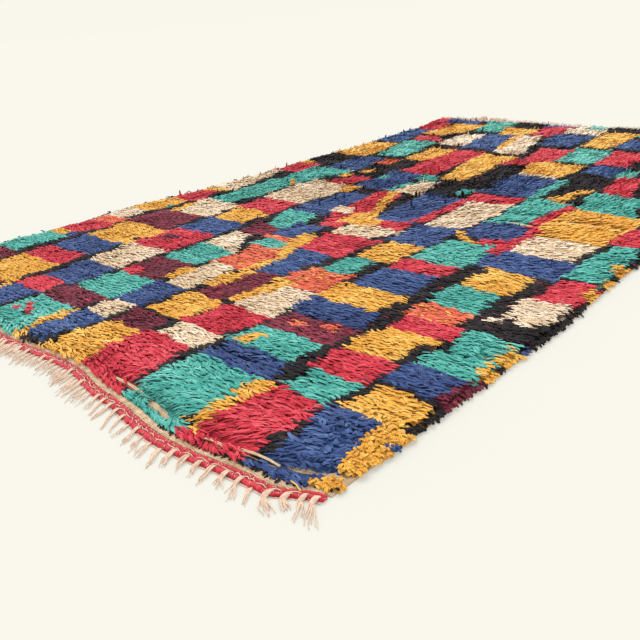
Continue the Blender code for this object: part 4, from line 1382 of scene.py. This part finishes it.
def build_band():
    """The red band: two rows of twined stitches side by side on a thin woven strip."""
    paths, radii, flats = twined_stitches()
    points, faces = tube(paths, radii, 8, flats)
    stations = np.linspace(0.002, RUG_WIDTH - 0.002, 200)
    taper = end_taper(stations)
    strip = [laid_path(stations, BAND_WIDTH * (0.5 + (across - 0.5) * taper), z) for across, z in BAND_STRIP]
    strip = np.stack(strip, axis=1).reshape(-1, 3)
    columns, start = len(BAND_STRIP), len(points)
    last = start + columns * (len(stations) - 1)
    faces += grid_faces(columns, len(stations), start=start, flip=True)
    for a in range(start, last, columns):
        faces.append((a, a + columns - 1, a + 2 * columns - 1, a + columns))
    faces += [tuple(range(start, start + columns)), tuple(last + v for v in range(columns - 1, -1, -1))]
    make_piece(
        "end_band", np.concatenate([points, strip]), faces, spun_material("red twined wool"), "band_wool",
        stands_for="near_end_band",
    )


def build_stitches(material):
    """Pale warp ends that show on the red band: a wandering thread along its middle, short ticks in its
    inner row, and the edging of its right end."""
    rng = np.random.RandomState(81)
    paths, radii = [], []
    x = 0.006
    while x < RUG_WIDTH - 0.030:
        length = rng.uniform(0.010, 0.026)
        share = np.linspace(0.0, 1.0, 7)
        swing = 0.0013 * np.sin(2.0 * math.pi * share * rng.uniform(0.5, 1.3) + rng.uniform(0, 6.3))
        swing = 0.0100 + swing + rng.uniform(-0.0006, 0.0006)
        height = 0.0049 + 0.0009 * np.sin(math.pi * share) + rng.uniform(-0.0002, 0.0002)
        paths.append(laid_path(x + share * length, swing, height))
        radii.append(np.interp(share, [0.0, 0.2, 0.8, 1.0], [0.0003, 0.0008, 0.0008, 0.0003]))
        x += length + rng.uniform(-0.002, 0.005)
    pitch = 0.0048
    for k in range(int(RUG_WIDTH / pitch)):
        x = 0.004 + k * pitch + rng.uniform(-0.0012, 0.0012)
        if x > RUG_WIDTH - 0.008 or rng.uniform() < 0.25:
            continue
        centre = BAND_WIDTH * rng.choice([0.72, 0.84, 0.28]) + rng.uniform(-0.0014, 0.0014)
        turn = math.radians(rng.uniform(-75.0, -25.0))
        reach = rng.uniform(0.0016, 0.0036) * np.linspace(-1.0, 1.0, 4)
        height = 0.0052 + np.array([-0.0008, 0.0004, 0.0004, -0.0008])
        paths.append(laid_path(x + reach * math.cos(turn), centre + reach * math.sin(turn), height))
        radii.append(np.array([0.0002, 0.0005, 0.0005, 0.0002]))
    edging = np.array(BAND_EDGING)
    paths.append(laid_path(edging[:, 0], edging[:, 1], 0.0034))
    radii.append(np.full(len(edging), 0.0009))
    make_piece("band_stitches", *tube(paths, radii, 4), material, "warp_wool")


def build_wefts(material):
    """The wefts of the ground that show where the rows of the pile part."""
    rng = np.random.RandomState(91)
    paths, radii = [], []
    for left, right, place, half_width in PARTINGS:
        yarns = max(1, int(round(0.02 * half_width / WEFT_PITCH)))
        # Far off, and in narrow partings, the wefts are lifted so that they show between the locks
        raised = 0.0110 if place > 80.0 else 0.0075 if yarns < 4 else 0.0015
        for k in range(yarns):
            across = (k - 0.5 * (yarns - 1)) * WEFT_PITCH
            cut = 0.004 * abs(across) / WEFT_PITCH
            xs = np.linspace(0.01 * left + cut + rng.uniform(-0.003, 0.003), 0.01 * right - cut, 10)
            ys = 0.01 * place + across + 0.0005 * bumps("weft", xs, xs, other=k)
            bow = 0.0025 * np.sin(np.linspace(0.0, math.pi, len(xs)))
            height = cloth_top(xs, ys) + raised - 0.0025 + bow + rng.uniform(-0.0002, 0.0004, len(xs))
            paths.append(laid_path(xs, ys, height))
            radii.append(np.full(len(xs), WEFT_RADIUS) * rng.uniform(0.85, 1.1))
    make_piece("parted_wefts", *tube(paths, radii, 4), material, "pile_wool")


# The fringes


def strand_paths(edge_y, way, strands, seed):
    """Plan points of each tuft of the fringe, from its knot outwards along the floor."""
    rng = np.random.RandomState(seed)
    outer_y = edge_y + way * KNOTTED_EDGE_WIDTH
    places = [0.5 * strands[0][3]]
    while places[-1] < RUG_WIDTH - strands[-1][3]:
        places.append(places[-1] + float(read_table(strands, places[-1], 3)))
    stretch = (RUG_WIDTH - 0.5 * strands[-1][3]) / places[-1]
    paths = []
    for place in places:
        x = place * stretch + rng.uniform(-STRAND_PLACE_SPREAD, STRAND_PLACE_SPREAD)
        length = float(read_table(strands, x, 1)) * rng.uniform(*STRAND_LENGTH_SPREAD)
        bend = rng.uniform(-STRAND_BEND, STRAND_BEND)
        stray = float(read_table(strands, x, 4))
        heading = float(read_table(strands, x, 2)) + rng.uniform(-stray, stray)
        path = [(x, outer_y)]
        for part in range(STRAND_PARTS):
            angle = math.radians(heading + bend * part / (STRAND_PARTS - 1))
            last_x, last_y = path[-1]
            step = length / STRAND_PARTS
            path.append((last_x + step * math.sin(angle), last_y + way * step * math.cos(angle)))
        paths.append(np.array(path))
    return paths


def near_tuft(rng, x):
    """The habits of a tuft of the near fringe. rise is how high it goes before it comes down."""
    thick = THICK_TUFT if x > NEAR_THICK_FROM else 1.0
    full = x < NEAR_FULL_TO
    return Tuft(
        ends=int(rng.randint(4, 10) * thick) + 3 * full, thick=thick, forked=rng.uniform() < 0.45,
        over=rng.uniform() < (0.75 if full or x > NEAR_SPARSE_FROM else 0.30),
        wide=rng.uniform(0.0022, 0.0038) + 0.0016 * full, belly=rng.uniform(0.0, 0.0020),
        fan=rng.choice(TUFT_FANS), veer=rng.uniform(-0.16, 0.20), rise=0.0025 * rng.uniform(0.5, 1.0),
    )


def far_tuft(rng, x):
    """The habits of a tuft of the far fringe."""
    thick = THICK_TUFT if x < FAR_THICK_TO else 1.0
    return Tuft(
        ends=int(rng.randint(9, 13) * thick), thick=thick, forked=rng.uniform() < 0.45, over=False,
        wide=0.0110, belly=0.0030, fan=rng.choice(TUFT_FANS), veer=0.0,
        rise=0.027 * (rng.uniform(0.62, 0.82) * thick ** 0.5),
    )


def tuft_end(rng, bunch, tuft, end, edge_y, way):
    """Path and radii of one warp end of a tuft that lies along the bunch's points."""
    near = way < 0
    root_x = bunch[0, 0]
    length = np.linalg.norm(bunch[-1] - bunch[0])
    side = 2.0 * (end + 0.5) / tuft.ends - 1.0 + rng.uniform(-0.35, 0.35)
    second = tuft.forked and end % 2
    reach = rng.uniform(0.45, 0.78) if second or rng.uniform() < 0.35 else rng.uniform(0.82, 1.06)
    share = np.linspace(0.0, reach, 6)
    place = np.minimum(share, 0.999) * (len(bunch) - 1)
    k = np.clip(place.astype(int), 0, len(bunch) - 2)
    local = (place - k)[:, None]
    plan = bunch[k] * (1.0 - local) + bunch[k + 1] * local
    plan = plan + (bunch[-1] - bunch[-2]) * 3.0 * np.maximum(share - 1.0, 0.0)[:, None]
    run = share / reach
    fork = (0.22 if second else -0.06) * length * share if tuft.forked else 0.0
    drift = (tuft.veer + rng.uniform(-0.10, 0.10)) * length * share ** 1.3
    wave = 0.0015 * np.sin(share * rng.uniform(5.0, 12.0) + rng.uniform(0, 6.3)) * run
    spread = tuft.wide * (1.0 - 0.45 * run) + tuft.belly * np.sin(math.pi * run) + tuft.fan * run ** 1.4
    plan[:, 0] += side * spread + fork + drift + wave
    plan[:, 1] += way * 0.0014 * np.sin(share * rng.uniform(4.0, 9.0)) * rng.uniform(-1.0, 1.0)
    radius = np.linspace(0.00115, 0.00036, len(plan)) * rng.uniform(0.75, 1.30) * tuft.thick ** 0.5
    own = rng.uniform(0.4, 1.1) if near else rng.uniform(0.55, 1.0)
    height = radius + tuft.rise * own * np.sin(math.pi * np.clip(0.12 + 0.80 * run, 0.0, 1.0))
    height = height + 0.0010 * rng.uniform(0, 1)
    if near:
        height[0] = 0.0026
    # The end starts inside the knotted edge, or on top of the band, whose outer row it then crosses
    before = [(root_x + 0.4 * side * tuft.wide, edge_y - way * 0.0010)]
    rises, grows = [0.0030], [0.7]
    if tuft.over:
        inner = rng.uniform(0.0075, 0.0105)
        before = [(root_x + side * 0.0024, inner), (root_x + side * 0.0026, 0.5 * inner)]
        before.append((root_x + side * tuft.wide, -0.0010))
        rises, grows = [0.0048, 0.0068, 0.0056], [0.45, 0.85, 1.0]
    plan = np.concatenate([before, plan])
    path = laid_path(plan[:, 0], plan[:, 1], np.concatenate([rises, height]))
    return path, np.concatenate([radius[0] * np.array(grows), radius])


def build_fringe(name, node, edge_y, way, strands, seed, habits, material):
    """Tufts of thin warp ends that spread over the floor, and the edge cord that they are fixed to."""
    rng = np.random.RandomState(seed + 100)
    paths, radii = [], []
    for bunch in strand_paths(edge_y, way, strands, seed):
        tuft = habits(rng, bunch[0, 0])
        for end in range(tuft.ends):
            path, radius = tuft_end(rng, bunch, tuft, end, edge_y, way)
            paths.append(path)
            radii.append(radius)
    xs = np.linspace(0.0015, RUG_WIDTH - 0.0015, 220)
    cord_y = edge_y + way * 0.0008 + 0.0004 * bumps("knotted edge", xs, xs)
    paths.append(laid_path(xs, cord_y, 0.0011))
    radii.append(np.full(len(xs), 0.0009))
    make_piece(name, *tube(paths, radii, 4), material, "warp_wool", stands_for=node)


# Floor, light and camera


def build_floor():
    """A plain pale floor that stays even under the soft light."""
    colour = linear(FLOOR_COLOUR)
    size = 60.0
    corners = [(-size, -size, 0), (size, -size, 0), (size, size, 0), (-size, size, 0)]
    mesh = bpy.data.meshes.new("floor")
    mesh.from_pydata(corners, [], [(0, 1, 2, 3)])
    floor = bpy.data.objects.new("floor", mesh)
    material = bpy.data.materials.new("pale floor")
    material.use_nodes = True
    shader = material.node_tree.nodes["Principled BSDF"]
    shader.inputs["Base Color"].default_value = (*[0.32 * c / colour[0] for c in colour], 1.0)
    shader.inputs["Emission Color"].default_value = (*[c / colour[0] for c in colour], 1.0)
    shader.inputs["Emission Strength"].default_value = 0.40
    shader.inputs["Roughness"].default_value = 0.9
    shader.inputs["Specular IOR Level"].default_value = 0.0
    mesh.materials.append(material)
    bpy.context.scene.collection.objects.link(floor)


def build_light():
    """A soft white studio, seen as the floor's colour, and one wide key light."""
    world = bpy.data.worlds.new("soft studio")
    world.use_nodes = True
    bpy.context.scene.world = world
    n = Nodes(world.node_tree)
    backdrop = world.node_tree.nodes["Background"]
    backdrop.inputs["Color"].default_value = paint(FLOOR_COLOUR)
    light = n.add("ShaderNodeBackground", Color=(1.0, 1.0, 1.0, 1.0), Strength=1.27)
    mix = n.add("ShaderNodeMixShader")
    seen = n.add("ShaderNodeLightPath").outputs["Is Camera Ray"]
    for socket, value in zip(mix.inputs, (seen, light.outputs[0], backdrop.outputs[0])):
        n.feed(socket, value)
    n.feed(world.node_tree.nodes["World Output"].inputs["Surface"], mix.outputs[0])

    lamp = bpy.data.lights.new("soft key", "SUN")
    lamp.energy = 1.7
    lamp.angle = math.radians(56.0)
    key = bpy.data.objects.new("soft key", lamp)
    key.rotation_mode = "QUATERNION"
    key.rotation_quaternion = Vector((-0.45, 0.25, 0.85)).to_track_quat("Z", "Y")
    bpy.context.scene.collection.objects.link(key)


def build_camera():
    """The camera, turned from its yaw, pitch and roll."""
    yaw, pitch, roll = (math.radians(a) for a in CAMERA_TURN)
    ahead = Vector((math.sin(yaw) * math.cos(pitch), math.cos(yaw) * math.cos(pitch), -math.sin(pitch)))
    level = Vector((math.cos(yaw), -math.sin(yaw), 0.0))
    down = ahead.cross(level)
    right = math.cos(roll) * level + math.sin(roll) * down
    lower = -math.sin(roll) * level + math.cos(roll) * down
    data = bpy.data.cameras.new("camera")
    data.lens = CAMERA_LENS
    data.sensor_width = 36.0
    data.clip_start, data.clip_end = 0.02, 200.0
    camera = bpy.data.objects.new("camera", data)
    turn = Matrix((right, -lower, -ahead)).transposed()
    place = Vector(CAMERA_PLACE) - Vector((CENTRE[0], CENTRE[1], 0.0))
    camera.matrix_world = Matrix.Translation(place) @ turn.to_4x4()
    bpy.context.scene.collection.objects.link(camera)
    bpy.context.scene.camera = camera


def main():
    build_floor()
    build_light()
    build_camera()
    bpy.context.scene.view_settings.view_transform = "Standard"
    warp_yarn = spun_material("undyed warp wool")
    build_ground()
    build_pile()
    build_wefts(spun_material("undyed weft wool"))
    build_band()
    build_stitches(warp_yarn)
    near_y, far_y = -PIECE_GAP, CLOTH_FAR + PIECE_GAP
    build_fringe("near_fringe_yarns", "near_fringe", near_y, -1, NEAR_STRANDS, 21, near_tuft, warp_yarn)
    build_fringe("far_fringe_yarns", "far_fringe", far_y, 1, FAR_STRANDS, 22, far_tuft, warp_yarn)


main()
